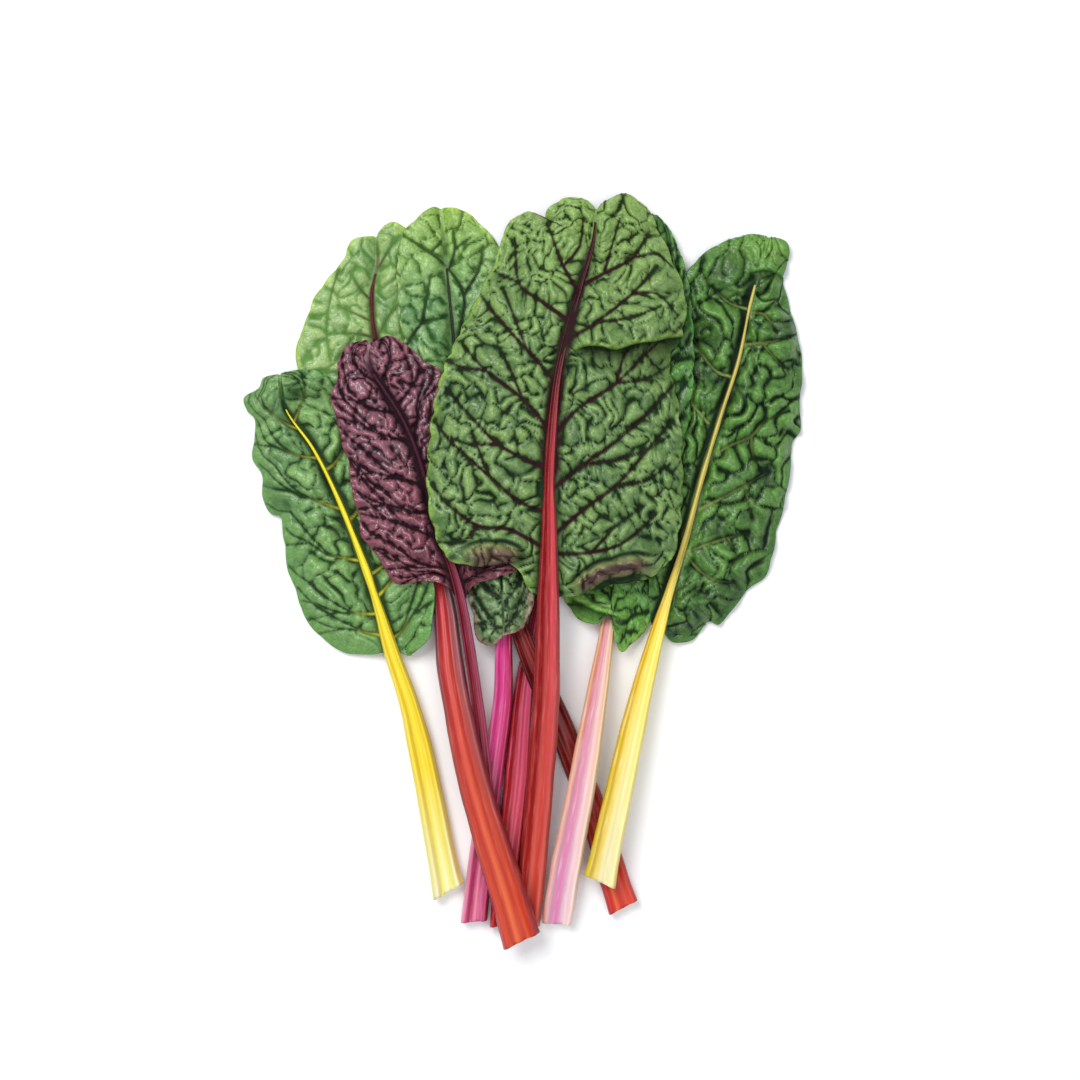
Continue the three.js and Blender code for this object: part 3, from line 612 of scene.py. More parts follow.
def make_stalk(leaf, seed, material):
    """(the stalk and midrib as one piece, its rings of points)."""
    grid, attributes, uv = stalk_surface(leaf, seed)
    faces = tube_faces(len(grid), AROUND)
    piece = add_piece(leaf["name"] + "_fine_stalk", grid.reshape(-1, 3), faces, attributes, material,
                      leaf["name"] + "_stalk", uv.reshape(-1, 2))
    return piece, grid


# %% [markdown]
# ## The veins
#
# Side veins leave the midrib at a slant, bend towards the tip and fork before the margin. They could be
# drawn as curve objects lying on the leaf, but in chard they are sunk into it, and the blade swells up
# between them. So they are kept as lines on the table plane, and the blade asks how far away they are.

# %% Side veins
SHARES = np.linspace(0, 1, 401)  # shares of the way to the tip for which the edges of a blade are kept
MARGIN_POINTS = 1601  # points of a margin from which its even steps are measured
ROOTED = 0.86  # share of the midrib along which side veins leave it
CROWDING = 1.1  # an exponent: the higher, the closer are the veins near the neck
SLANT, BEND = (0.10, 0.17), (0.05, 0.12)  # how far a vein runs to the tip by its slant and by its bend
WIGGLE, WIGGLES = 0.008, (8, 14)  # how far it drifts, and how quickly
VEIN_END, FORK_END = 0.94, 0.97  # shares of the way to the margin
FORKS = [(0.34, 0.16), (0.55, -0.12)]  # where a fork leaves a side vein, and how it turns to the tip
FORK_SIZE = 0.6  # thickness of a fork, as a share of the vein's where it leaves
TIP_THINS, RUN_THINS, FORK_THINS = 0.65, 0.8, 0.6  # what veins lose towards the tip and along their way
THINNEST = 0.75  # a vein thinner than this many millimetres is drawn this thin, but fainter
VEIN_REACH = 14  # millimetres from a vein up to which its distance matters


def blade_edges(leaf, side):
    """(edge beside the midrib, margin, length of the margin up to each point), for side 1 or -1.

    The margin is a smooth curve from the neck through its points to the tip, at even steps of length."""
    last = len(leaf["spine"]) - 1
    centre, left, width, depth = spine_at(leaf, leaf["neck"] + (last - leaf["neck"]) * SHARES)
    inner = centre + side * left * (leaf["inset"] * width)[:, None]
    inner[:, 2] += depth * leaf["level"]
    margin = np.array(leaf["left" if side > 0 else "right"], float) + shift
    dense = drawn(np.vstack([inner[0], margin, inner[-1]]), MARGIN_POINTS)
    length = travelled(dense)
    run = SHARES * length[-1]
    outer = np.stack([np.interp(run, length, dense[:, k]) for k in range(3)], axis=1)
    return inner, outer, run


def at_share(edge, u):
    """The points of an edge at the shares u of its way."""
    return np.stack([np.interp(u, SHARES, edge[:, k]) for k in range(3)], axis=-1)


def on_blade(edges, u, v):
    """Points of half a blade: u from the neck to the tip, v from the midrib to the margin."""
    a, b = at_share(edges[0], u), at_share(edges[1], u)
    return a + (b - a) * v[..., None]


def grown_veins(edges, count, seed, thick):
    """Lines of side veins as rows of x, y and half width, from the midrib to the margin.

    Vein number i leaves at u0 and follows u = u0 + slant v + bend v^2, drifting a little, and gets
    thinner as it goes. Two forks leave it on the way, straight in u and v. Veins near the tip are thinner."""
    rng = np.random.default_rng(seed)
    lines = []
    for i in range(count):
        u0 = ROOTED * ((i + rng.uniform(0.15, 0.65)) / count)**CROWDING
        slant, bend = rng.uniform(*SLANT), rng.uniform(*BEND)
        v = np.linspace(0, VEIN_END, 15)
        wiggle = WIGGLE * np.sin(v * rng.uniform(*WIGGLES) + rng.uniform(0, 6))
        u = np.clip(u0 + slant * v + bend * v**2 + wiggle * v, 0, 0.985)
        place = on_blade(edges, u, v)
        size = thick * (1 - TIP_THINS * i / count)
        lines.append(np.column_stack([place[:, :2], size * (1 - RUN_THINS * v)]))
        for start, turn in FORKS:
            start += rng.uniform(0, 0.1)
            w = np.linspace(0, 1, 8)
            fork_v = start + (FORK_END - start) * w
            fork_u = np.interp(start, v, u) + (slant + bend + turn) * (fork_v - start)
            place = on_blade(edges, np.clip(fork_u, 0, 0.99), fork_v)
            fork_size = FORK_SIZE * size * (1 - RUN_THINS * start)
            lines.append(np.column_stack([place[:, :2], fork_size * (1 - FORK_THINS * w)]))
    return lines


def to_segment(x, y, start, end):
    """(distance to a straight stretch, how far along it the nearest point is, from 0 to 1)."""
    dx, dy = end[0] - start[0], end[1] - start[1]
    s = np.clip(((x - start[0]) * dx + (y - start[1]) * dy) / max(dx * dx + dy * dy, 1e-9), 0, 1)
    return np.hypot(x - start[0] - s * dx, y - start[1] - s * dy), s


def near_lines(x, y, lines):
    """(distance to the nearest line, how well inside a line's width each point is, from 0 to 1).

    How well inside is a bell of the distance over the line's half width."""
    nearest = np.full(x.shape, np.inf)
    inside = np.zeros(x.shape)
    for line in lines:
        low, high = line[:, :2].min(axis=0) - VEIN_REACH, line[:, :2].max(axis=0) + VEIN_REACH
        close = np.nonzero((x > low[0]) & (x < high[0]) & (y > low[1]) & (y < high[1]))
        for start, end in zip(line[:-1], line[1:]):
            distance, s = to_segment(x[close], y[close], start, end)
            width = start[2] + (end[2] - start[2]) * s
            strength = np.minimum(width / THINNEST, 1) * bell(distance / np.maximum(width, THINNEST))
            nearest[close] = np.minimum(nearest[close], distance)
            inside[close] = np.maximum(inside[close], strength)
    return nearest, inside


# %% [markdown]
# ## The plain blade
#
# Under its blisters a blade is a smooth sheet with an arch and slow waves, cut out along a scalloped
# margin. The fine blade starts from this sheet, as the CAD model does, so that the two keep together.

# %% The plain blade as a grid
WAVE_COUNT, WAVE_HEIGHT = 4.5, 1.2  # waves from the neck to the tip, and their height at the margin
LAST_SHARE = 0.995  # the blade ends just before the tip, where its halves would meet in a point
LOBE_DRIFT, LOBE_DRIFT_LENGTH = 0.35, 30  # how much the lobes differ, and over how many millimetres
LOBE_LEVEL = 0.6  # the part of a lobe that keeps the margin where it was laid out


def blade_half(leaf, side, u, spacing, seed):
    """Half of the plain blade, each row running out from the midrib, and what its points know of their place.

    A point is inner + (outer - inner) v. It is raised by sin(pi u) times an arch 4 v (1 - v) and waves
    that grow as v^2. The margin is pushed out by |sin| of a phase that grows by pi for each lobe."""
    inner, outer, run = blade_edges(leaf, side)
    v = np.linspace(0, 1, int(np.linalg.norm(outer - inner, axis=1).max() / spacing))
    travel = np.interp(u, SHARES, run)
    lobe = leaf["lobe"] * (1 + LOBE_DRIFT * soft_noise(travel, 0, LOBE_DRIFT_LENGTH, seed + side))
    phase = np.pi * np.cumsum(np.gradient(travel) / lobe)
    scallop = leaf["scallop"] * (np.abs(np.sin(phase)) - LOBE_LEVEL) * np.sin(np.pi * u)**0.3
    a, b = at_share(inner, u), at_share(outer, u)
    outwards = (b - a)[:, :2]
    b[:, :2] += outwards / (np.linalg.norm(outwards, axis=1)[:, None] + 2) * scallop[:, None]
    points = a[:, None] + (b - a)[:, None] * v[None, :, None]
    wave = WAVE_HEIGHT * np.sin(2 * np.pi * WAVE_COUNT * u)[:, None] * v**2
    arch = leaf["arch"][0 if side > 0 else 1] * 4 * v * (1 - v)
    points[..., 2] += np.sin(np.pi * u)[:, None] * (wave + arch)
    width = np.linalg.norm((b - a)[:, :2], axis=1)[:, None]
    frill = np.sin(phase + seed) + 0.7 * np.sin(0.46 * phase + 2 * seed)
    places = {"u": u[:, None], "v": v, "side": side, "from_rib": width * v, "to_margin": width * (1 - v),
              "frill": frill[:, None]}
    half = {key: np.broadcast_to(values, points.shape[:2]) for key, values in places.items()}
    return {"points": points, **half}


def blade_base(leaf, spacing, seed):
    """The plain blade as one grid, whose rows run from the left margin to the right one."""
    length = travelled(blade_edges(leaf, 1)[0])[-1]
    u = np.linspace(0, LAST_SHARE, int(length / spacing))
    left, right = (blade_half(leaf, side, u, spacing, seed) for side in (1, -1))
    return {key: np.concatenate([left[key][:, ::-1], right[key]], axis=1) for key in left}


# %% [markdown]
# ## The relief
#
# The blade of a savoy chard is puckered: it grew faster than its veins, so it swells up between them in
# blisters, with small ones on large ones, and its margin is frilled. It could be a displacement map on a
# sheet. Here it is worked out as heights above the plain blade, because the blades that are laid on this
# one later have to clear its blisters.

# %% Blisters, creases and frills
DOME, BLISTER, LUMP, WRINKLE = 2.4, 2.6, 1.7, 0.9  # heights of the relief's parts, the large ones first
USUAL_DOME, USUAL_BLISTER, USUAL_LUMP = 0.65, 0.55, 0.5  # what each is on the whole, which counts as level
LUMP_SIZE, WRINKLE_SIZE = 0.9, 0.42  # in widths of a blister
ON_VEIN = 0.35  # share of its height that a blister keeps beside a vein
TONE_HEIGHT = 0.6  # how much its tone makes a blister higher or lower, as a share
SLOW_DRIFT, QUICK_DRIFT = 17, 8  # millimetres over which the blade drifts up and down
HOLLOW_REACH = 4  # points around a point whose heights its own is compared with
DARKEST_HOLLOW = 0.95  # how far below them a point is where its painted shade is darkest, on a blade of pucker 1
DOME_REACH = 8  # millimetres from a vein at which the blade has swelled up fully
GROOVE_REACH, GROOVE_SHADE = 2.4, 0.8  # and up to which painted shade darkens the groove along it, and how dark
SHADE_REACH = 3.5  # the reach of the shade beside the midrib
SHADE_FADES = (0.75, 0.95)  # and the shares of the way to the tip between which it fades
DARK_DIMPLE = 3  # depth from which the painted shade in a dimple is fully dark
MARGIN_RELIEF = 4  # this over the leaf's calm is the share of the relief that is left at its margin
RIM_REACH = (0.2, 4.0)  # where the pale rim starts to fade and where it has gone
RIM_WAVERS, RIM_WAVE = 1.5, 6  # by how much those places waver, and over how many millimetres
STAIN, STAIN_DRIFT, STAIN_LENGTH = 0.85, 0.35, 5  # how strong a vein's colour is, and how it drifts
BLISTER_TONE, PATCH_TONE, PATCH_SIZE = 0.4, 0.5, 12  # the tone of single blisters and of wider patches


def blurred(values, reach):
    """The mean over the points up to reach rows and columns away."""
    for axis in (0, 1):
        pad = [(reach + 1, reach) if k == axis else (0, 0) for k in (0, 1)]
        total = np.cumsum(np.pad(values, pad, mode="edge"), axis=axis)
        count = values.shape[axis]
        high = np.take(total, np.arange(2 * reach + 1, 2 * reach + 1 + count), axis=axis)
        low = np.take(total, np.arange(count), axis=axis)
        values = (high - low) / (2 * reach + 1)
    return values


def halves(sheet, pair):
    """The first value of a pair on the left half of a sheet, and the second on the right half."""
    return np.where(sheet["side"] > 0, *pair)


def bent_places(x, y, size, seed):
    """The places x and y, moved by soft noise so that nothing laid out on them is straight."""
    def bend(values, k):
        slow = 0.6 * soft_noise(x, y, size * 1.4, seed + k)
        quick = 0.25 * soft_noise(x, y, size * 0.6, seed + 7 + k)
        return values + size * (slow + quick)

    return bend(x, 1), bend(y, 2)


def blister_places(leaf, sheet, x, y):
    """Places square to the lean of the blisters and along it, the latter pressed together by the stretch."""
    inner = blade_edges(leaf, 1)[0]
    axis = (inner[-1] - inner[0])[:2]
    axis /= np.linalg.norm(axis)
    forward = x * axis[0] + y * axis[1]
    outward = (y * axis[0] - x * axis[1]) * sheet["side"]
    to_tip, out = leaf["lean"]
    return out * forward - to_tip * outward, (to_tip * forward + out * outward) / leaf["stretch"]


def relief(leaf, sheet, lines, seed):
    """Height of the blisters above the plain blade, and the masks that the colours need.

    Domes between the side veins carry blisters, those carry lumps, and all carry wrinkles. Each part is
    counted from its usual mean, so the blade keeps its level. The tone is a random number that makes one
    blister higher and lighter than the next, and painted shade darkens it in the hollows. A hollow is where
    the height is below its mean around. crease is painted shade: in the hollows, in the grooves along
    the veins, beside the midrib and in dimples."""
    x, y = sheet["points"][..., 0], sheet["points"][..., 1]
    size, pucker = leaf["blister"], leaf["pucker"]
    bent_x, bent_y = bent_places(x, y, size, seed)
    beside, along = blister_places(leaf, sheet, bent_x, bent_y)
    to_vein, in_vein = near_lines(x, y, lines)
    edge, tone = blister_cells(beside, along, size, seed + 3)
    big = dome(to_vein / DOME_REACH)
    blister = dome(edge / (leaf["roundness"] * size)) - USUAL_BLISTER
    blister = blister * (ON_VEIN + (1 - ON_VEIN) * big) * (1 + TONE_HEIGHT * tone)
    lump = lumps(beside, along, size * LUMP_SIZE, seed + 4)
    wrinkle = lumps(bent_x, bent_y, size * WRINKLE_SIZE, seed + 10)
    drift = soft_noise(x, y, SLOW_DRIFT, seed + 5) + 0.5 * soft_noise(x, y, QUICK_DRIFT, seed + 6)
    height = pucker * (DOME * (big - USUAL_DOME) + BLISTER * blister + LUMP * (lump - USUAL_LUMP)
                       + WRINKLE * (wrinkle - USUAL_LUMP) + leaf["drift"] * drift)
    joined = smoothstep(0, 1 + leaf["join"] * (1 - sheet["u"]), sheet["from_rib"])
    calm = halves(sheet, leaf["calm"])
    left_over = MARGIN_RELIEF / calm
    height *= joined * (left_over + (1 - left_over) * smoothstep(0, calm, sheet["to_margin"]))
    hollow = (blurred(height, HOLLOW_REACH) - height) / (DARKEST_HOLLOW * pucker)
    by_vein = 1 - dome(to_vein / GROOVE_REACH)
    # painted shade beside the midrib, fading towards the tip
    by_rib = halves(sheet, leaf["rib_shade"]) * bell(sheet["from_rib"] / SHADE_REACH)
    by_rib *= 1 - smoothstep(*SHADE_FADES, sheet["u"])
    # crease is painted shade: darker in the hollows, in the grooves along the veins and beside the midrib
    crease = np.clip(np.maximum(hollow, 0) + GROOVE_SHADE * by_vein * joined + by_rib, 0, 1)
    for pit_x, pit_y, reach, depth in leaf["dimples"]:
        pit = bell(np.hypot(x - shift[0] - pit_x, y - shift[1] - pit_y) / reach)
        height -= depth * pit
        # painted shade in the dimple
        crease = np.maximum(crease, np.minimum(depth / DARK_DIMPLE, 1) * pit)
    wavering = sheet["to_margin"] + RIM_WAVERS * soft_noise(x, y, RIM_WAVE, seed + 7)
    stain = STAIN + STAIN_DRIFT * soft_noise(x, y, STAIN_LENGTH, seed + 12)
    patches = PATCH_TONE * soft_noise(x, y, PATCH_SIZE, seed + 11)
    masks = {
        "vein": in_vein * np.clip(stain, 0, 1),
        "crease": crease,
        # the tone is random per blister and in patches, and painted shade makes it darker in the hollows
        "tone": BLISTER_TONE * tone + patches + np.clip(-hollow, -0.6, 1),
        "rim": halves(sheet, leaf["pale_rim"]) * (1 - smoothstep(*RIM_REACH, wavering)),
        "turned": np.zeros(x.shape),
        "hanging": np.zeros(x.shape),
    }
    frill = leaf["frill"] * sheet["frill"] * sheet["v"]**3 * np.sin(np.pi * sheet["u"])
    return height + frill * joined, masks


# %% [markdown]
# ## Folds
#
# In places a blade has buckled: one part hangs over the next with a bright edge and a dark gap below it,
# and at the base of the top leaf the margin has rolled up and shows its brownish underside. The bright
# edge is a painted highlight and the dark gap a painted shadow. A fold could be modelled by hand, but it
# is only a step in height along a line, with the higher side pushed outwards.

# %% Folds and rolled margins
FOLD_STEEP = 0.7  # half width of the step at a fold
SAG, SAG_REACH = 0.4, 6  # how far its lower side sinks, as a share of the rise, and how far away
PUSH_REACH = 5  # how far in the upper side is pushed over
FOLD_LIP = (1.0, 1.3)  # a stripe beside the line: its place, above zero on the left, and its half width; at a fold it is a painted highlight
ROLL_LIP = (1.2, 1.4)
# the stripe of painted shade in the gap beside a roll
ROLL_GAP = (-1.2, 1.3)


def beside_line(x, y, line):
    """(signed distance to a line, above zero on its left, how far along it the nearest point is)."""
    best = np.full(x.shape, np.inf)
    signed = np.zeros(x.shape)
    progress = np.zeros(x.shape)
    for i, (start, end) in enumerate(zip(line[:-1], line[1:])):
        distance, s = to_segment(x, y, start, end)
        side = np.sign((end[0] - start[0]) * (y - start[1]) - (end[1] - start[1]) * (x - start[0]))
        nearer = distance < best
        best = np.where(nearer, distance, best)
        signed = np.where(nearer, side * distance, signed)
        progress = np.where(nearer, (i + s) / (len(line) - 1), progress)
    return signed, progress


def stripe(away, place, width):
    """A stripe at a place beside a line: a bell of the distance from that place."""
    return bell((away - place) / width)


def beside_curve(top, line, waver, size, seed):
    """beside_line for the smooth curve through the line, with the distance wavering by soft noise."""
    x, y = top[..., 0], top[..., 1]
    away, progress = beside_line(x, y, drawn(line, 8 * len(line)) + shift[:2])
    return away + waver * soft_noise(x, y, size, seed), progress


def fold_over(top, masks, line, rise, reach, overlap, fold_shadow_reach=9):
    """Lifts the left side of a line by rise, fading over reach, and pushes it over the right by overlap.

    At the line the height is a step 1 / (1 + exp(-distance / FOLD_STEEP)). Below the fold a painted
    shadow fades over fold_shadow_reach, and the lip of the fold gets a painted highlight in the rim colour."""
    away, progress = beside_curve(top, line, 1.2, 9, 71)
    grows = smoothstep(0.0, 0.35, progress) * (1 - smoothstep(reach * 3, reach * 4, np.abs(away)))
    high = 1 / (1 + np.exp(-np.clip(away / FOLD_STEEP, -30, 30)))
    top[..., 2] += rise * grows * (high * fading(away, reach) - SAG * (1 - high) * fading(-away, SAG_REACH))
    across = np.subtract(line[-1], line[0])
    push = overlap * grows * high * fading(away, PUSH_REACH) / np.linalg.norm(across)
    top[..., 0] += push * across[1]
    top[..., 1] -= push * across[0]
    # painted highlight along the lip of the fold, carried by the rim mask
    lip = grows * stripe(away, *FOLD_LIP)
    # painted shadow below the fold, put into crease
    below = grows * (1 - smoothstep(-1.6, 0.6, away)) * fading(-away, fold_shadow_reach)
    masks["crease"] = np.maximum(masks["crease"] * (1 - lip), below)
    masks["rim"] = np.maximum(masks["rim"], lip)
    masks["hanging"] = np.maximum(masks["hanging"], (grows > 0.05) * (np.abs(away) < 3))


def roll_margin(top, masks, line, width, rise):
    """Rolls up what lies within width to the left of a line, so that it shows its underside.

    Across the roll the rise is sin(pi x)^0.7. Its lip is bright, and the gaps on both sides get painted
    shade."""
    away, progress = beside_curve(top, line, 0.8, 7, 72)
    there = smoothstep(0.03, 0.25, progress) * (1 - smoothstep(0.75, 0.97, progress))
    inside = there * smoothstep(-0.3, 0.3, away) * (1 - smoothstep(width - 0.5, width + 0.5, away))
    top[..., 2] += rise * there * np.sin(np.pi * np.clip(away / width, 0, 1))**0.7
    lip = stripe(away, *ROLL_LIP)
    streaks = 0.9 * lip + 0.6 * np.sin(7.8 * away / width) - 0.3
    masks["turned"] = np.maximum(masks["turned"], inside * (1 - 0.6 * lip))
    masks["rim"] = masks["rim"] * (1 - inside)
    masks["tone"] = masks["tone"] * (1 - 0.3 * inside) + inside * streaks
    # painted shade on the margin beyond the roll and in the gap beside it
    beyond = there * smoothstep(width - 0.5, width + 1, away) * (away < 3 * width)
    gap_shade = np.maximum(there * stripe(away, *ROLL_GAP), beyond)
    masks["crease"] = np.maximum(masks["crease"] * (1 - 0.4 * inside), gap_shade)


# %% [markdown]
# ## Laying one leaf on another
#
# The leaves are put down one after another. Each blade is lifted where it would sink into what already
# lies below it. A cloth simulation could find this too, but it would iron out the blisters. Instead a map
# of the heap holds the height of all that lies there. Where a blade is too low, the lack is spread over a
# few millimetres around and added, so the blade bends softly over its neighbour.

# %% A map of the heap
CELL = 1.5  # width of a square of the map
AIR = 0.5  # air between two leaves
LIFT_REACH = 4  # squares over which a lift is spread
MAP_LOW = np.array([-170.0, -215.0])
MAP_SHAPE = (227, 287)


def map_index(points):
    """The map's square below each point."""
    index = np.floor((points[..., :2] - MAP_LOW) / CELL).astype(int)
    return np.clip(index[..., 0], 0, MAP_SHAPE[0] - 1), np.clip(index[..., 1], 0, MAP_SHAPE[1] - 1)


def widen(values, reach, pick):
    """Each square takes the largest, or the mean, of the squares up to reach away along X and then Y."""
    for axis in (0, 1):
        stack = [np.roll(values, step, axis=axis) for step in range(-reach, reach + 1)]
        values = pick(stack, axis=0)
    return values


def lay_on(points, lowest, heap, free):
    """Lifts points until the lowest ones are above the heap. free says how far each point may follow.

    The lift of a point is blended from the four squares around it."""
    index = map_index(points)
    lack = np.zeros(MAP_SHAPE)
    np.maximum.at(lack, index, heap[index] + AIR - lowest)
    lift = widen(widen(lack, LIFT_REACH, np.max), LIFT_REACH, np.mean)
    gx, gy = np.moveaxis((points[..., :2] - MAP_LOW) / CELL - 0.5, -1, 0)
    ix = np.clip(np.floor(gx).astype(int), 0, MAP_SHAPE[0] - 2)
    iy = np.clip(np.floor(gy).astype(int), 0, MAP_SHAPE[1] - 2)
    fx, fy = np.clip(gx - ix, 0, 1), np.clip(gy - iy, 0, 1)
    near = lift[ix, iy] * (1 - fx) + lift[ix + 1, iy] * fx
    far = lift[ix, iy + 1] * (1 - fx) + lift[ix + 1, iy + 1] * fx
    points[..., 2] += (near * (1 - fy) + far * fy) * free


def add_to_heap(heap, points):
    """Raises the map to the points, and fills the small gaps between them."""
    layer = np.zeros(MAP_SHAPE)
    np.maximum.at(layer, map_index(points), points[..., 2])
    np.maximum(heap, widen(layer, 1, np.max), out=heap)


# %% [markdown]
# ## The finished blade
#
# The sheet runs from the left margin, through the midrib, to the right margin. It could get its thickness
# from a solidify modifier, but here it is closed all round with an underside on which the veins stand
# out, as they do on a real leaf.

# %% A closed blade
SHEET = 0.55  # thickness of the leaf
VEIN_BULGE = 0.9  # how far a vein stands out below, in half widths of the thickest vein
RIB_POINTS = 40
RIB_START = 2  # rows of the spine from the neck to the start of the coloured line over the midrib
HELD = 8  # millimetres from the midrib over which a blade can't lift freely
LIFTS = 3  # how many times a blade is lifted, since a lift also moves its neighbours
ABOVE_TABLE = 0.05  # the sheet's height above the table where it is lowest
ROUNDED_OFF = 0.02  # and the height below which no point of its underside goes


def blade_veins(leaf, seed):
    """All lines of a blade as rows of x, y and half width: listed, by rule, and over the midrib."""
    lines = [line + [shift[0], shift[1], 0] for line in leaf["veins"]]
    for side in (1, -1):
        lines += grown_veins(blade_edges(leaf, side), leaf["vein_count"], seed + side + 1, leaf["vein_width"])
    end = min(leaf["rib_line"], len(leaf["spine"]) - 1)
    rib, _, width, _ = spine_at(leaf, np.linspace(leaf["neck"] + RIB_START, end, RIB_POINTS))
    thinning = 1 - 0.8 * np.linspace(0, 1, RIB_POINTS)**3
    return lines + [np.column_stack([rib[:, :2], leaf["rib_stain"] * width * thinning])]


def normals_of(points, hanging):
    """Unit normals of a grid of points, from the cross product of its two directions.

    They point up, except in a fold, where the sheet hangs over."""
    normal = np.cross(np.gradient(points, axis=1), np.gradient(points, axis=0))
    length = np.linalg.norm(normal, axis=-1, keepdims=True)
    normal = np.where(length > 1e-6, normal / np.maximum(length, 1e-6), [0, 0, 1.0])
    return normal * np.where((normal[..., 2:] < 0) & (hanging[..., None] < 0.5), -1, 1)


def sheet_faces(rows, columns):
    """Faces of a closed sheet: the grid of its top, the same below, and a band round the edge."""
    count = rows * columns
    upper = grid_faces(rows, columns)[:, ::-1]
    lower = grid_faces(rows, columns, count)
    corner = np.arange(count).reshape(rows, columns)
    rim = np.concatenate([corner[0, :-1], corner[:-1, -1], corner[-1, :0:-1], corner[:0:-1, 0]])
    following = np.roll(rim, -1)
    band = np.stack([rim, rim + count, following + count, following], axis=1)[:, ::-1]
    return np.concatenate([upper, lower, band])


def make_blade(leaf, seed, spacing, material, heap):
    """A closed blade on top of the heap: the puckered top, an underside, and a rim between them."""
    sheet = blade_base(leaf, spacing, seed)
    height, masks = relief(leaf, sheet, blade_veins(leaf, seed), seed)
    top = sheet["points"].copy()
    top[..., 2] += height
    for fold in leaf["folds"]:
        fold_over(top, masks, **fold)
    for roll in leaf["rolls"]:
        roll_margin(top, masks, **roll)
    thickness = SHEET + VEIN_BULGE * leaf["vein_width"] * masks["vein"]
    free = 1.0 if leaf["covers_rib"] else smoothstep(0, HELD, sheet["from_rib"])
    for _ in range(LIFTS):
        lay_on(top, top[..., 2] - thickness, heap, free)
    top[..., 2] = np.maximum(top[..., 2], thickness + ABOVE_TABLE)
    under = top - normals_of(top, masks.pop("hanging")) * thickness[..., None]
    under[..., 2] = np.maximum(under[..., 2], ROUNDED_OFF)
    points = np.concatenate([top.reshape(-1, 3), under.reshape(-1, 3)])
    faces = sheet_faces(*top.shape[:2])
    masks.update(u=sheet["u"], from_rib=sheet["from_rib"] * MM)
    attributes = {key: np.tile(values.ravel(), 2) for key, values in masks.items()}
    attributes["under"] = np.repeat([0.0, 1.0], len(points) // 2)
    add_to_heap(heap, top)
    piece = add_piece(leaf["name"] + "_fine_blade", points, faces, attributes, material,
                      leaf["name"] + "_blade")
    print(f"{piece.name}: {2 * len(faces)} triangles, up to {points[:, 2].max():.1f} mm high")


# %% [markdown]
# ## Colours and nodes
#
# Colours are written as sRGB hex values, as they would be read off a colour card, and turned to the linear
# values that a shader works with. One small function adds a node with its settings and inputs. A tissue
# could be one long colour ramp, but it is easier to think of it as a painter does: a ground, and thin
# coats over it, each of which covers as much as one of the numbers on the surface says.

# %% Helpers for materials
FACTOR, UNDER, OVER, MIXED = 0, 6, 7, 2  # sockets of a Mix node that mixes colours
FULL = (0.0, 1.0)  # from nothing to all


def colour(hex_value):
    """An sRGB hex value as linear red, green, blue and alpha."""
    parts = [int(hex_value[i:i + 2], 16) / 255 for i in (1, 3, 5)]
    return [p / 12.92 if p <= 0.04045 else ((p + 0.055) / 1.055)**2.4 for p in parts] + [1.0]


def add_node(tree, kind, settings=None, inputs=None):
    """A node of that kind with its settings. An input is a value, or the socket that leads to it."""
    node = tree.nodes.new(kind)
    for key, value in (settings or {}).items():
        setattr(node, key, value)
    for key, value in (inputs or {}).items():
        if isinstance(value, bpy.types.NodeSocket):
            tree.links.new(value, node.inputs[key])
        else:
            node.inputs[key].default_value = value
    return node


def new_material(name):
    """(a material without nodes, its node tree)."""
    material = bpy.data.materials.new(name)
    material.use_nodes = True
    material.node_tree.nodes.clear()
    return material, material.node_tree


def add_surface(tree, inputs):
    """The Principled shader with its inputs, and the material's output."""
    shader = add_node(tree, "ShaderNodeBsdfPrincipled", None, inputs)
    add_node(tree, "ShaderNodeOutputMaterial", None, {"Surface": shader.outputs["BSDF"]})


def reading(tree, what, between, to=FULL):
    """A point attribute, by its name, or the value of a socket, stretched from one range to another."""
    if isinstance(what, str):
        what = add_node(tree, "ShaderNodeAttribute", {"attribute_name": what}).outputs["Fac"]
    ends = zip(("From Min", "From Max", "To Min", "To Max"), (*between, *to))
    return add_node(tree, "ShaderNodeMapRange", None, {"Value": what, **dict(ends)}).outputs["Result"]


def painted(tree, ground, coats):
    """Coats of colour on a ground, one over the other. Each colour is a hex value or a socket.

    A coat is (what, between, to, hue). It covers as much as the reading of its first three says, and one
    without a hue is left out."""
    ground = colour(ground) if isinstance(ground, str) else ground
    for what, between, to, hue in coats:
        if hue is None:
            continue
        hue = colour(hue) if isinstance(hue, str) else hue
        inputs = {FACTOR: reading(tree, what, between, to), UNDER: ground, OVER: hue}
        ground = add_node(tree, "ShaderNodeMix", {"data_type": "RGBA"}, inputs).outputs[MIXED]
    return ground


# %% [markdown]
# ## Leaf tissue
#
# A fresh chard blade is a thin green sheet under a clear waxy skin. The wax gives soft, pale highlights on
# every blister, so the roughness is middling and the index of refraction is that of plant wax, 1.45.
# The green gets painted shade down in the creases, it is yellower at the margin, and the veins carry the
# stalk's colour.
# Its finest net of veins and a slight mottle are noise in the leaf's own space. Noise scales are per metre.

# %% The material of a blade
WAX_IOR = 1.45
MOTTLE = {"Scale": 260.0, "Detail": 3.0, "Roughness": 0.6}  # spots of 4 mm
MOTTLED = (0.3, 0.7)  # the part of that noise's range that is used
NET_SCALE, NET_VEIN = 330.0, 0.22  # meshes of 3 mm, and how broad their veins are in the cell's distance
NET_WANDER_SCALE, NET_WANDER = 300.0, 0.003  # how the net wanders, by up to 3 mm
NET_FLATTENED = (1.0, 1.0, 0.3)  # the net changes little with height, so steep places don't smear it
NET_BUMP = {"Strength": 0.22, "Distance": 0.0006}
SKIN_ROUGHNESS = (0.26, 0.38)
CREASE_GLOSS = 0.2  # specular level down in a crease, where little light gets in


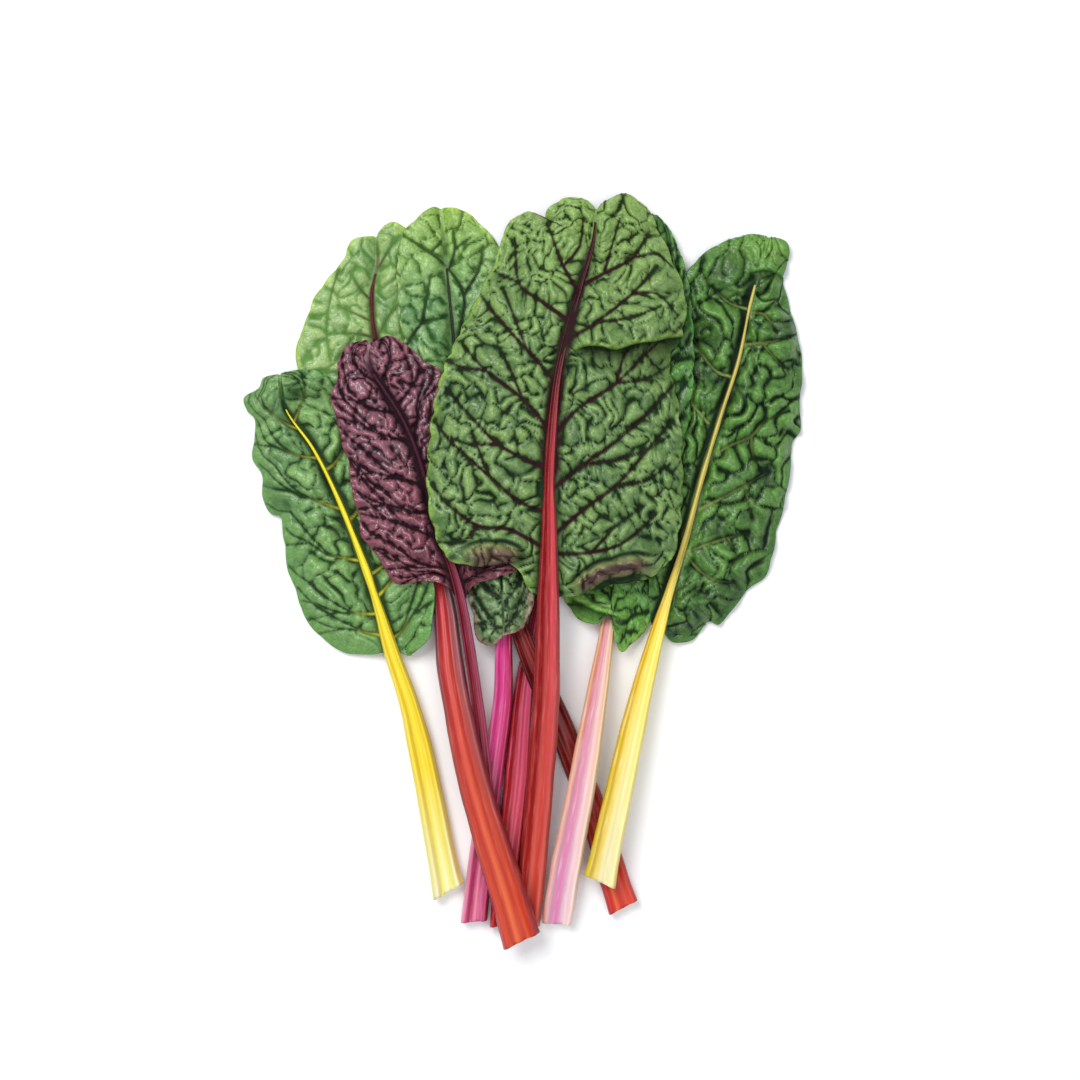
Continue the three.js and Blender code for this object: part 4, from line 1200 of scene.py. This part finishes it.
def fine_net(tree, place):
    """The finest veins, 0 on a vein and 1 inside a mesh: the distance to the edge of bent cells."""
    flat = add_node(tree, "ShaderNodeMapping", None, {"Vector": place, "Scale": NET_FLATTENED})
    flat = flat.outputs["Vector"]
    bend = add_node(tree, "ShaderNodeTexNoise", None, {"Vector": flat, "Scale": NET_WANDER_SCALE})
    bent = add_node(tree, "ShaderNodeVectorMath", {"operation": "MULTIPLY_ADD"},
                    {0: bend.outputs["Color"], 1: (NET_WANDER,) * 3, 2: flat})
    cells = add_node(tree, "ShaderNodeTexVoronoi", {"feature": "DISTANCE_TO_EDGE"},
                     {"Vector": bent.outputs["Vector"], "Scale": NET_SCALE})
    return reading(tree, cells.outputs["Distance"], (0.0, NET_VEIN))


def leaf_tissue(name, dark, light, rim, vein, under, lower="#8a7a5a", shadow="#0c1f10", base=None, tip=None,
                tip_from=0.84, vein_fade=(0.0, 0.09), vein_strength=1.0, crease=0.93, specular=0.5):
    """Green or purple leaf tissue with coloured veins.

    dark and light are the hollows and the crowns of the blisters, with painted shade in the hollows. rim is
    the pale margin and also the painted highlight on the lip of a fold. under and lower are the underside and
    its streaks where it is rolled up, shadow the painted shade in creases and gaps, and base and tip the ends
    of the blade. The tip's colour starts at the share tip_from. A vein loses its colour between the two
    distances of vein_fade from the midrib, in metres. vein_strength and crease say how much veins and
    the painted shade cover, and specular is the gloss outside the creases."""
    material, tree = new_material(name)
    place = add_node(tree, "ShaderNodeTexCoord").outputs["Object"]
    mottle = add_node(tree, "ShaderNodeTexNoise", None, {"Vector": place, **MOTTLE}).outputs["Fac"]
    net = fine_net(tree, place)
    tone = add_node(tree, "ShaderNodeAttribute", {"attribute_name": "tone"}).outputs["Fac"]
    spotted = add_node(tree, "ShaderNodeMath", {"operation": "ADD"},
                       {0: tone, 1: reading(tree, mottle, MOTTLED, (-0.4, 0.4))})
    near_rib = reading(tree, "from_rib", vein_fade, (1.0, 0.0))
    strength = add_node(tree, "ShaderNodeMath", {"operation": "MULTIPLY"},
                        {0: reading(tree, "vein", (0.1, 0.7), (0.0, vein_strength)), 1: near_rib})
    rolled = painted(tree, under, [(tone, (-1.0, 1.0), FULL, lower)])
    flesh = painted(tree, dark, [
        (spotted.outputs["Value"], (-1.1, 1.1), FULL, light),
        ("u", (0.1, 0.6), (0.55, 0.0), base),
        ("u", (tip_from, 0.96), (0.0, 0.6), tip),
        # the pale margin, and the painted highlight on the lip of a fold
        ("rim", FULL, (0.0, 0.7), rim),
        (net, (0.0, 0.5), (0.35, 0.0), dark),
        ("turned", FULL, FULL, rolled),
        # painted shade in creases, gaps and under folds
        ("crease", (0.1, 0.9), (0.0, crease), shadow),
        (strength.outputs["Value"], FULL, FULL, vein),
    ])
    back = painted(tree, under, [
        ("vein", (0.1, 0.7), FULL, vein),
        # painted shade in the creases, on the underside too
        ("crease", (0.4, 0.8), (0.0, 0.8), shadow),
    ])
    dull = add_node(tree, "ShaderNodeMath", {"operation": "MAXIMUM"},
                    {0: reading(tree, "crease", (0.1, 0.6), (0.0, 0.5)),
                     1: reading(tree, "vein", (0.0, 0.6), (0.0, 0.5))})
    rough = add_node(tree, "ShaderNodeMath", {"operation": "ADD"},
                     {0: reading(tree, mottle, MOTTLED, SKIN_ROUGHNESS), 1: dull.outputs["Value"]})
    bump = add_node(tree, "ShaderNodeBump", None, {"Height": net, **NET_BUMP})
    add_surface(tree, {
        "Base Color": painted(tree, flesh, [("under", FULL, FULL, back)]),
        "Roughness": rough.outputs["Value"],
        "Specular IOR Level": reading(tree, "crease", (0.1, 0.8), (specular, CREASE_GLOSS)),
        "IOR": WAX_IOR,
        "Normal": bump.outputs["Normal"],
    })
    return material


# %% [markdown]
# ## Stalk tissue
#
# The stalk is crisp and full of water under a smooth skin. Its strings show as fine streaks along it, and
# its colour changes from the cut end to the leaf. The cut itself is pale and moist, with a dot for each
# string. A little light goes into the flesh, red the furthest, as in most plants.

# %% The material of a stalk
STREAK_SCALE, STREAK_ALONG = 1300.0, 0.04  # streaks 0.8 mm apart, and 25 times as long
STRING_DOT_SCALE = 900.0  # dots 1.1 mm apart in the cut
STRING_BUMP = {"Strength": 0.35, "Distance": 0.0003}
CRISP_FLESH = {
    "Roughness": 0.38,
    "IOR": 1.4,
    "Subsurface Weight": 0.15,
    "Subsurface Radius": (0.004, 0.002, 0.001),
    "Subsurface Scale": 1.0,
}


def bands(tree, hues):
    """Colours at even steps from the left to the right of the stalk."""
    node = add_node(tree, "ShaderNodeValToRGB", None, {"Fac": reading(tree, "across", (-1.0, 1.0))})
    ramp = node.color_ramp
    ramp.interpolation = "EASE"
    while len(ramp.elements) < len(hues):
        ramp.elements.new(0.5)
    for i, hue in enumerate(hues):
        ramp.elements[i].position = i / (len(hues) - 1)
        ramp.elements[i].color = colour(hue)
    return node.outputs["Color"]


def stalk_tissue(name, foot, top, rib, pith, streak, foot_along=(0.1, 0.95), rib_along=(0.98, 1.45)):
    """Stalk tissue with coloured bands and streaks.

    foot, top and rib are colours from left to right: at the cut end, below the blade and in the blade.
    Besides the strain's own colours they hold painted light and shade across the stalk, darker on its
    shaded side faces.
    They change over foot_along and rib_along, in lengths of the stalk below the blade. pith is the colour
    of the cut, and streak that of the strings."""
    material, tree = new_material(name)
    place = add_node(tree, "ShaderNodeTexCoord").outputs
    stretched = add_node(tree, "ShaderNodeMapping", None,
                         {"Vector": place["UV"], "Scale": (1.0, STREAK_ALONG, 1.0)})
    streaks = add_node(tree, "ShaderNodeTexNoise", None,
                       {"Vector": stretched.outputs["Vector"], "Scale": STREAK_SCALE, "Detail": 3.0})
    streaks = streaks.outputs["Fac"]
    shown = add_node(tree, "ShaderNodeMath", {"operation": "MULTIPLY"},
                     {0: reading(tree, streaks, (0.52, 0.75), (0.0, 0.4)),
                      1: reading(tree, "along", rib_along, (1.0, 0.15))})
    skin = painted(tree, bands(tree, foot), [
        ("along", foot_along, FULL, bands(tree, top)),
        ("along", rib_along, FULL, bands(tree, rib)),
        (shown.outputs["Value"], FULL, FULL, streak),
    ])
    dots = add_node(tree, "ShaderNodeTexVoronoi", None,
                    {"Vector": place["Object"], "Scale": STRING_DOT_SCALE})
    cut = painted(tree, foot[0], [(dots.outputs["Distance"], (0.1, 0.35), FULL, pith)])
    bump = add_node(tree, "ShaderNodeBump", None, {"Height": streaks, **STRING_BUMP})
    add_surface(tree, {
        "Base Color": painted(tree, skin, [("cut", FULL, FULL, cut)]),
        "Normal": bump.outputs["Normal"],
        **CRISP_FLESH,
    })
    return material


# %% [markdown]
# ## The colours of each leaf
#
# Rainbow chard is a mix of strains. Each has its own pigment in the stalk, and the same pigment runs on
# into the veins. The bands across a stalk also carry painted light and shade, darker on its shaded side
# faces. The names of the settings are those of `leaf_tissue` and `stalk_tissue`.

# %% Colours from leaf to leaf
# the stalk bands mix each strain's own colours with painted light and shade across the stalk
FINISH = {
    "front_red": dict(
        blade=dict(
            dark="#507a3c", light="#94b06a", rim="#9cbe44", vein="#4a2a20", under="#a9c07c",
            shadow="#44702c", vein_fade=(0.012, 0.05), crease=0.55),
        stalk=dict(
            foot=["#8c1618", "#c43c2a", "#d05238", "#b83418", "#dc6a42", "#cc4a20", "#b42c12", "#d05028",
                  "#bc3420", "#9c2018", "#861212"],
            top=["#5c3040", "#6c2c38", "#a4202c", "#bc2e36", "#a81c22", "#a02028", "#8c3a40", "#8a6068",
                 "#845c64", "#4c1620"],
            rib=["#3c1418", "#6a2a34", "#5a2028", "#341014"],
            pith="#f6d9c8", streak="#e6705c")),
    "slanting_red": dict(
        blade=dict(
            dark="#356630", light="#86aa68", rim="#9cc044", vein="#1c2a14", under="#9ab87a",
            shadow="#1c3c14", tip="#9cbc50", tip_from=0.7, vein_fade=(0.08, 0.2), crease=0.75),
        stalk=dict(
            foot=["#a82020", "#c4302a", "#d85a34", "#b81e12", "#d04228", "#d04c3c", "#a81e1c"],
            top=["#480406", "#5e0808", "#7c1612", "#6c1210", "#4c080a"],
            rib=["#1c2410", "#24301a", "#1c2410"],
            pith="#f2cdbd", streak="#d0473c", foot_along=(0.05, 0.5))),
    "white_pink": dict(
        blade=dict(
            dark="#1c4524", light="#5c9446", rim="#86b64a", vein="#8fae6a", under="#8caf6c",
            shadow="#0a2410", base="#82bc50", vein_fade=(0.0, 0.03)),
        stalk=dict(
            foot=["#e4b09c", "#d8a4a8", "#cc84aa", "#d278a6", "#d4a4ba", "#e6c4c8", "#ead0c8", "#e2bcb0"],
            top=["#dcae7c", "#dc9468", "#c4786c", "#cc8c96", "#dcaca8", "#e4bca8", "#dcb47c", "#d2bc60"],
            rib=["#d89458", "#e0a488", "#dc9c78", "#ccb468"],
            pith="#fbf2e4", streak="#f4e8e0")),
    "left_yellow": dict(
        blade=dict(
            dark="#305a2d", light="#7ea45e", rim="#5e9246", vein="#cfc83c", under="#7fa06a",
            shadow="#0a1d0c", base="#709c54", vein_fade=(0.002, 0.014), vein_strength=0.9, crease=0.86),
        stalk=dict(
            foot=["#dad67c", "#eae0b4", "#dcd87a", "#ece8b4", "#dcd87c", "#eae6b4", "#e0d06c"],
            top=["#dac428", "#ead038", "#dac02a", "#ecd434", "#e0c82c", "#e6cc30", "#d8b82c"],
            rib=["#8f8a20", "#e6d62c", "#f0e244", "#e0cf2c", "#9a9426"],
            pith="#f8f4cf", streak="#f6ec84", foot_along=(0.0, 0.5))),
    "right_yellow": dict(
        blade=dict(
            dark="#102c10", light="#5e8c3c", rim="#4a7f34", vein="#94a858", under="#7fa06a",
            shadow="#06180a", tip="#7cac48", vein_fade=(0.02, 0.07), vein_strength=0.75),
        stalk=dict(
            foot=["#cdb41c", "#ccae38", "#d8c05c", "#e4daa4", "#dcd4a6", "#eee2a6", "#e0cc70"],
            top=["#cea218", "#dab41c", "#e2c02a", "#eed854", "#f2e47c", "#eeda54", "#d6bc38"],
            rib=["#746a34", "#c8b85a", "#d8c864", "#b0a256", "#6c683c"],
            pith="#f8f6d8", streak="#fdf8cc")),
    "pink": dict(
        blade=dict(
            dark="#15340f", light="#4f8034", rim="#4f8a38", vein="#2a2a18", under="#7fa06a",
            shadow="#081c0e"),
        stalk=dict(
            foot=["#ac1e22", "#b8282a", "#b42e32", "#d45464", "#d05460", "#c4444c", "#ac2e34"],
            top=["#8e0e22", "#88081c", "#8e1026", "#aa3a5c", "#ba4670", "#b24264", "#9c3044"],
            rib=["#5a1420", "#741a2c", "#5a1420"],
            pith="#f6d5d5", streak="#dc7a9a")),
    "magenta": dict(
        blade=dict(
            dark="#24421f", light="#809c68", rim="#a08270", vein="#4c4838", under="#8aa878",
            shadow="#10200e", vein_strength=0.4),
        stalk=dict(
            foot=["#dc9cae", "#cc5c86", "#a4305c", "#de7c98", "#c05a80", "#b8486c", "#8c2448"],
            top=["#c4528e", "#d63a88", "#ce3884", "#c4307a", "#b22a5a", "#94203f"],
            rib=["#8a2050", "#a82c6c", "#7a1c48"],
            pith="#f8dcea", streak="#eaa0c8")),
    "purple": dict(
        blade=dict(
            dark="#300e1a", light="#8c5060", rim="#7c3040", vein="#1a060c", under="#6a2a42",
            shadow="#1e0812", base="#7c2c3a", crease=1.0, specular=1.0),
        stalk=dict(
            foot=["#7a1028", "#8c142c", "#8c1830", "#a04058", "#984050"],
            top=["#7a1e36", "#68081a", "#6c0e20", "#9a425c", "#a0566a"],
            rib=["#30081a", "#4a1028", "#3a0c20", "#240612"],
            pith="#f0c8cc", streak="#c45a78")),
    "central": dict(
        blade=dict(
            dark="#244a1f", light="#789654", rim="#88ac48", vein="#2a0e12", under="#422a26",
            lower="#7e6e4e", shadow="#0a1a0a", tip="#8aaa54", tip_from=0.5, vein_fade=(0.06, 0.15)),
        stalk=dict(
            foot=["#9a2018", "#a01c14", "#a82018", "#d45a48", "#bc3c2c", "#ca5244", "#b44c42"],
            top=["#902624", "#8a0e14", "#92141a", "#9e1e24", "#c6444c", "#ac2e36", "#96424a"],
            rib=["#1e060a", "#3e0c18", "#300a14", "#4c1622", "#1c060a"],
            pith="#f6d3c6", streak="#ee7a70", rib_along=(1.25, 1.75))),
}
print("finishes:", len(FINISH))

# %% [markdown]
# ## Veins laid out one by one
#
# Where the veins show best, on the top leaf and at the tips of the pale ones, they are laid out one by
# one. Each is a line of x and y from the midrib towards the margin, and the number before a group is the
# half width at its start. The other veins grow by rule.

# %% Veins of the top leaf and of the pale ones
VEINS = {
    "central": {
        1.25: [
            [(28, 136), (20, 150), (12, 172)], [(23, 122), (8, 133), (-2, 142), (-4, 165)],
            [(16, 93), (2, 108), (-12, 124), (-22, 138)], [(14, 68), (0, 84), (-18, 98), (-30, 112)],
            [(13, 50), (2, 54), (-12, 62), (-26, 76), (-38, 90)],
            [(12, 28), (-2, 34), (-16, 46), (-34, 62), (-44, 74)],
            [(12, 10), (-6, 20), (-22, 22), (-36, 32), (-45, 42)],
            [(29, 140), (40, 146), (54, 154), (62, 166)], [(22, 114), (36, 122), (54, 136), (66, 150)],
            [(15, 66), (28, 80), (46, 92), (66, 112), (78, 122)],
            [(15, 40), (30, 52), (44, 62), (62, 78), (78, 96)],
            [(16, 18), (30, 30), (46, 42), (62, 60), (74, 74)], [(16, 8), (34, 9), (50, 14), (66, 28)],
        ],
        0.7: [
            [(-2, 142), (-14, 148)], [(2, 108), (-4, 124), (-10, 140)], [(0, 84), (-6, 98), (-12, 110)],
            [(-12, 62), (-26, 62), (-38, 66)], [(-16, 46), (-22, 60), (-26, 72)],
            [(-22, 22), (-30, 14), (-42, 14)], [(36, 122), (52, 124), (68, 130)],
            [(46, 92), (60, 94), (74, 102)], [(46, 92), (50, 106), (58, 116)],
            [(30, 52), (44, 54), (58, 58), (72, 66)], [(46, 42), (60, 44), (72, 52)],
            [(34, 9), (46, 22), (60, 32)], [(40, 146), (44, 160), (48, 174)],
            [(-18, 98), (-30, 100), (-38, 104)], [(20, 150), (28, 160), (30, 174)],
            [(54, 154), (66, 156), (74, 150)], [(54, 136), (66, 136), (76, 126)],
        ],
    },
    "front_red": {
        0.6: [
            [(-75, 134), (-81, 140), (-86, 148)], [(-75, 124), (-84, 128), (-92, 132)],
            [(-73, 116), (-84, 118), (-96, 118)], [(-73, 116), (-66, 128), (-56, 138), (-48, 139)],
            [(-73, 150), (-68, 158), (-62, 166)],
        ],
        0.35: [
            [(-92, 150), (-96, 136), (-98, 120), (-96, 104)], [(-96, 118), (-104, 112), (-110, 104)],
            [(-98, 128), (-106, 126)], [(-84, 118), (-90, 108), (-98, 100)],
        ],
    },
    "slanting_red": {
        1.2: [[(-42, 88), (-35, 104), (-31, 122), (-29.5, 137), (-37, 150), (-46, 158), (-60, 167)]],
        0.9: [
            [(-58, 112), (-50, 123), (-40, 126), (-32, 132)], [(-50, 123), (-48, 136), (-46, 146)],
            [(-29.5, 137), (-22, 150), (-20, 162)], [(-37, 150), (-34, 160), (-35, 170)],
            [(-31, 122), (-18, 126), (-10, 134)],
        ],
        0.55: [
            [(-46, 158), (-40, 166), (-42, 176)], [(-34, 160), (-26, 166)],
            [(-35, 104), (-22, 108), (-12, 116)],
        ],
    },
    "right_yellow": {
        0.6: [
            [(96, 58), (103, 62), (113, 66.5), (120.5, 74), (132, 79)],
            [(87.5, 30), (99, 36), (110, 42), (122, 49)], [(81.5, 9), (92, 13), (102, 16), (112, 19)],
            [(81, 7.5), (89, -1), (96, -5), (104, -6)], [(110, 112), (119, 113), (128, 114)],
            [(103, 96), (96, 99), (89, 108), (84.5, 117)], [(92, 73), (82, 85), (74, 97)],
            [(111, 130), (103, 133), (94.5, 141)], [(113, 128), (120, 127), (126, 118)],
        ],
        0.35: [
            [(110, 42), (112, 34), (114, 26)], [(113, 66.5), (114, 58), (118, 50)],
            [(89, 108), (82, 104), (76, 104)], [(82, 85), (78, 76), (72, 72)],
            [(119, 113), (126, 104), (132, 100)], [(102, 16), (106, 8)],
        ],
    },
}


def tapered(points, thick):
    """A vein through the points, as thick as given at its start and a fifth of that at its end."""
    count = 6 * len(points)
    return np.column_stack([drawn(points, count), thick * np.linspace(1, 0.2, count)])


for name, groups in VEINS.items():
    veins = [tapered(points, thick) for thick, group in groups.items() for points in group]
    leaf_named[name]["veins"] = veins
    print(name, "has", len(veins), "veins laid out by hand")

# %% [markdown]
# ## Growing the leaves
#
# Stalks first, because they are stiff and stay where they lie. Then the blades, from the lowest to the one
# on top, each laid on the heap so far. The blades that show most get the most points.

# %% Stalks
stalk_points = {}
for number, leaf in enumerate(LEAVES):
    name = leaf["name"]
    finish = stalk_tissue(name + "_stalk_tissue", **FINISH[name]["stalk"])
    stalk, stalk_points[name] = make_stalk(leaf, number + 1, finish)
    print(f"{stalk.name}: {len(stalk.data.polygons) * 2} triangles")

# %% Blades
SPACING = {"central": 0.76, "left_yellow": 0.7, "right_yellow": 0.72, "purple": 0.7}  # between points
HIDDEN_SPACING = 0.95  # the same on the others
heap = np.zeros(MAP_SHAPE)
for number, leaf in enumerate(LEAVES):
    name = leaf["name"]
    finish = leaf_tissue(name + "_leaf_tissue", **FINISH[name]["blade"])
    if leaf["covers_rib"]:
        add_to_heap(heap, stalk_points[name])
    make_blade(leaf, 10 * number + 5, SPACING.get(name, HIDDEN_SPACING), finish, heap)
    add_to_heap(heap, stalk_points[name])

# %% [markdown]
# ## The table, the light and the camera
#
# The leaves lie on a white table under a large soft lamp at the upper left, with pale light from all
# round. The camera looks straight down.

# %% The white table
TABLE_WIDTH = 6.0
TABLE_DROP = 0.0002  # so that nothing lies in the same plane as the table
half = TABLE_WIDTH / 2
plane = bpy.data.meshes.new("table")
corners = [(-half, -half, 0), (half, -half, 0), (half, half, 0), (-half, half, 0)]
plane.from_pydata(corners, [], [(0, 1, 2, 3)])
table = bpy.data.objects.new("table", plane)
bpy.context.collection.objects.link(table)
table.location.z = -TABLE_DROP
card, card_tree = new_material("white_card")
add_surface(card_tree, {"Base Color": colour("#f4f4f4"), "Roughness": 0.9})
plane.materials.append(card)
print("the table is", TABLE_WIDTH, "m wide")

# %% The lamps
def soft_lamp(name, place, width, watts):
    """A square lamp that faces the middle of the bunch."""
    lamp = bpy.data.lights.new(name, "AREA")
    lamp.size = width
    lamp.energy = watts
    body = bpy.data.objects.new(name, lamp)
    bpy.context.collection.objects.link(body)
    body.location = place
    body.rotation_euler = (-body.location).to_track_quat("-Z", "Y").to_euler()


soft_lamp("key_lamp", place=(-0.7, 0.8, 1.6), width=1.0, watts=28)
soft_lamp("fill_lamp", place=(0.5, -0.4, 1.9), width=1.6, watts=13)
ROOM = {"Color": (0.90, 0.94, 1.0, 1), "Strength": 0.52}  # slightly cool, like the light of a pale room
world = bpy.data.worlds.new("pale_room")
bpy.context.scene.world = world
world.use_nodes = True
for socket, value in ROOM.items():
    world.node_tree.nodes["Background"].inputs[socket].default_value = value
print("lamps:", len(bpy.data.lights))

# %% The camera
VIEW_WIDTH = 0.540  # what the picture shows from side to side
VIEW_CENTRE = np.array([0.0085, 0.0150])
LENS, SENSOR = 85.0, 36.0
camera_data = bpy.data.cameras.new("camera")
camera_data.lens = LENS
camera_data.sensor_width = SENSOR
camera = bpy.data.objects.new("camera", camera_data)
bpy.context.collection.objects.link(camera)
camera.location = (*(VIEW_CENTRE + shift[:2] * MM), VIEW_WIDTH * LENS / SENSOR)
bpy.context.scene.camera = camera
bpy.context.scene.view_settings.view_transform = "Standard"
print("the camera is", round(camera.location.z, 3), "m up")
